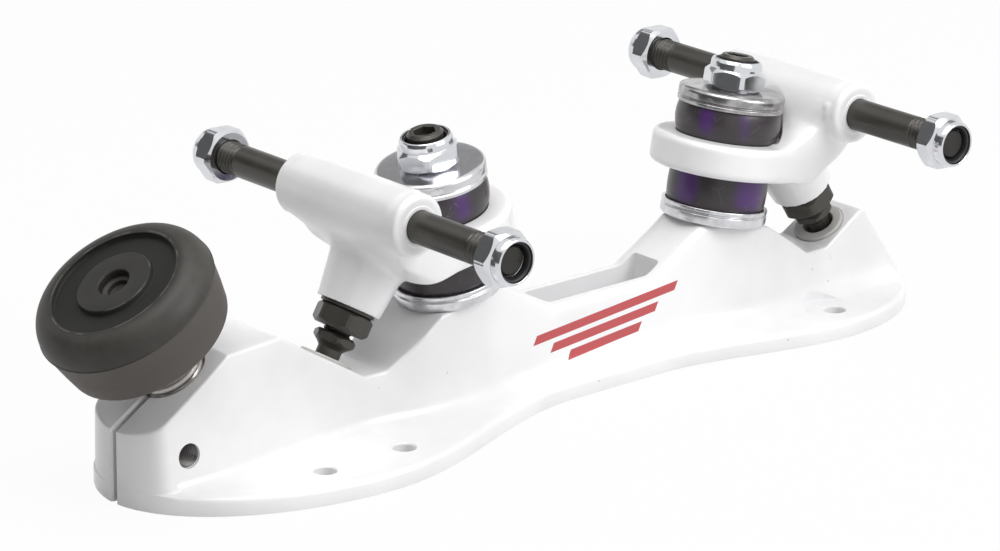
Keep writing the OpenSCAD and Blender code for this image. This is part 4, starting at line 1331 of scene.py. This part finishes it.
def toe_stop_block():
    base = rounded([(0, 13.6, 0), (BLOCK_BORE, 13.6, 0), (BLOCK_BORE, 0, 0.2), (19.9, 0, 1.6),
                    (20.95, 5.5, 8), (21.9, 11.75, 0)])
    seam = [(22.0, 11.95), (22.16, 12.05), (22.18, 12.2), (22.02, 12.35)]
    side = [(16.5 + 5.5 * math.cos(a), 12.2 + 6.4 * math.sin(a)) for a in np.radians(np.linspace(3, 90, 14))]
    ring = [(15.95, 18.6, 0.25), (15.6, 17.2, 0.35), (9.5, 17.2, 0.35), (9.2, 18.6, 0.25)]
    hole = [(3.9, 18.6, 0.35), (3.8, 16.6, 0.15), (2.7, 16.4, 0.2), (2.5, 15.2, 0.25), (0, 15.0, 0)]
    return spun(base + seam + side + rounded(ring + hole), 144)


def toe_stop_washer():
    face = STOP_WASHER_T - 0.02
    corners = [(BLOCK_BORE, 0, 0.1), (12.5, 0, 0.5), (12.5, face, 0.15), (BLOCK_BORE, face, 0)]
    return spun(rounded(corners), 96)


STOP_STEM = threaded(STEM_R, STEM_L, pitch=2.1, depth=0.8, around=64, per_turn=8)
STOP_WASHER_Q = STOP_RISE - STOP_WASHER_T
for name, mesh, q, finish, slot, node in (
        ("block", toe_stop_block(), STOP_RISE, STOP_RUBBER, "stop_rubber", "toe_stop_rubber"),
        ("threaded_stem", STOP_STEM, STEM_L / 2 - STEM_DEPTH, STEM_ZINC, "bright_zinc", "toe_stop_stem"),
        ("back_washer", toe_stop_washer(), STOP_WASHER_Q, STEM_ZINC, "satin_steel", "toe_stop_washer")):
    piece(f"toe_stop_{name}", mesh, on_stem(q), finish, node, "toe_stop")

# %% [markdown]
# A socket screw across the nose pinches the slit shut round the stem. Its head is one more profile with a
# hexagon for its inner radius, and its shank comes from the thread tree.

# %% Pinch screw
PINCH_SHANK = NOSE_W - 5 - PINCH_HEAD_H


def pinch_head():
    hexagon = hex_radius(5, 0.05)
    return spun([(0, 0), (2.75, 0), (4.6, 0.0), (4.8, 0.2), (4.8, 5.0), (4.4, PINCH_HEAD_H),
                 (hexagon + 0.2, PINCH_HEAD_H), (hexagon, 5.2), (hexagon, 2.6), (0, 2.2)], HEX_ANGLES)


PINCH_ROD = threaded(2.75, PINCH_SHANK, pitch=1.0, depth=0.45, around=32)
PINCH = joined((pinch_head(), Matrix()), (PINCH_ROD, shift(z=-PINCH_SHANK / 2)))
PINCH_PLACE = shift(PINCH_X, PINCH_SEAT, PINCH_Z) @ turn(90, "X")
piece("nose_pinch_screw", PINCH, PINCH_PLACE, BLACK_STEEL, "pinch_screw", "plate")

# %% [markdown]
# The stage: a pale floor, a white surround and large soft lamps, as in a product photograph. Bright metal
# needs something dark to mirror, so a few cards stand outside the picture. Stronger lamps would also make
# the floor white, but they would bleach the paint, so the floor and the world glow only for the rays that
# look at them. The camera repeats the photograph's own viewpoint, worked out from the straight lines of
# the plate.

# %% The camera
CAM_AZ, CAM_EL, CAM_ROLL = (math.radians(a) for a in (138.80, 18.56, 0.51))
CAM_F, CAM_PX, CAM_PY, CAM_DIST = 4773.27, 20.18, 22.81, 1181.1
IMAGE_W, SENSOR_W = 1000, 36


def photo_camera():
    level = math.cos(CAM_EL)
    back = Vector((math.sin(CAM_AZ) * level, -math.cos(CAM_AZ) * level, math.sin(CAM_EL)))
    ahead = -back
    right = ahead.cross(Vector((0, 0, 1))).normalized()
    up = right.cross(ahead)
    cos_roll, sin_roll = math.cos(CAM_ROLL), math.sin(CAM_ROLL)
    right, up = (cos_roll * right + sin_roll * up, cos_roll * up - sin_roll * right)
    data = bpy.data.cameras.new("photo_camera")
    data.sensor_width = SENSOR_W
    data.lens = CAM_F / IMAGE_W * SENSOR_W
    data.clip_start = 0.01
    camera = placed("photo_camera", data)
    place = -(CAM_PX * right - CAM_PY * up + CAM_DIST * ahead) * MM
    camera.matrix_world = Matrix.Translation(place) @ Matrix((right, up, back)).transposed().to_4x4()
    return camera


bpy.context.scene.camera = photo_camera()
print("camera at", [round(c, 3) for c in bpy.context.scene.camera.matrix_world.translation])

# %% Floor and surround


def seen(graph):
    """1 for what the camera, a mirror or a clear piece sees, 0 for light that only falls on things."""
    path = graph.add("ShaderNodeLightPath").socket.node
    names = ("Is Camera Ray", "Is Glossy Ray", "Is Transmission Ray")
    camera, glossy, through = (Wire(graph, path.outputs[name]) for name in names)
    return camera.math("MAXIMUM", glossy).math("MAXIMUM", through)


def white_world(strength):
    world = bpy.data.worlds.new("studio")
    bpy.context.scene.world = world
    world.use_nodes = True
    backdrop = world.node_tree.nodes["Background"]
    backdrop.inputs["Color"].default_value = (1, 1, 1, 1)
    level = strength + seen(Graph(world.node_tree)) * (1 - strength)
    world.node_tree.links.new(level.socket, backdrop.inputs["Strength"])


def flat_sheet(name, wide, high, material):
    x, y = wide / 2, high / 2
    mesh = bpy.data.meshes.new(name)
    mesh.from_pydata([(-x, -y, 0), (x, -y, 0), (x, y, 0), (-x, y, 0)], [], [(0, 1, 2, 3)])
    mesh.materials.append(material)
    sheet = placed(name, mesh)
    return sheet


def pale_floor():
    paper = Finish("pale_floor", Base_Color=(0.68, 0.68, 0.68, 1), Roughness=0.9)
    glow = paper.add("ShaderNodeEmission", {}, {"Color": (1, 1, 1, 1), "Strength": 1.0})
    lit = Wire(paper, paper.shader.outputs[0])
    mixed = paper.add("ShaderNodeMixShader", {}, {0: seen(paper) * 0.95, 1: lit, 2: glow})
    paper.tree.links.new(mixed.socket, paper.tree.nodes["Material Output"].inputs[0])
    flat_sheet("floor", 12, 12, paper.material).location.z = -0.0002


white_world(0.45)
pale_floor()

# %% Lamps and cards
STAGE_AIM = Vector((0.02, 0, 0.04))


def soft_lamp(name, place, target, size, power, colour):
    data = bpy.data.lights.new(name, "AREA")
    data.size = size
    data.energy = power
    data.color = colour
    lamp = placed(name, data)
    lamp.location = place
    lamp.rotation_euler = (Vector(target) - Vector(place)).to_track_quat("-Z", "Y").to_euler()


def dark_card(name, place, size, shade):
    face = Finish(name, Base_Color=(shade, shade, shade, 1), Roughness=0.9)
    card = flat_sheet(name, *size, face.material)
    card.location = place
    card.rotation_euler = (STAGE_AIM - Vector(place)).to_track_quat("Z", "Y").to_euler()
    card.visible_camera = False


soft_lamp("overhead", (0.2, 0.12, 1.05), (0.0, 0, 0.03), size=0.8, power=7.6, colour=(1.0, 0.985, 0.98))
soft_lamp("from_right", (-0.35, 0.95, 0.72), (0.02, 0, 0.03), size=0.7, power=8.3, colour=(0.985, 0.985, 1.0))
dark_card("card_left", (0.82, 0.05, 0.34), size=(1.3, 0.7), shade=0.14)
dark_card("card_far_left", (0.68, -0.65, 0.44), size=(0.75, 0.5), shade=0.14)
dark_card("card_back", (-0.55, -0.75, 0.72), size=(1.2, 0.55), shade=0.42)
bpy.context.scene.view_settings.view_transform = "Standard"
print("lamps", [lamp.name for lamp in bpy.data.lights])
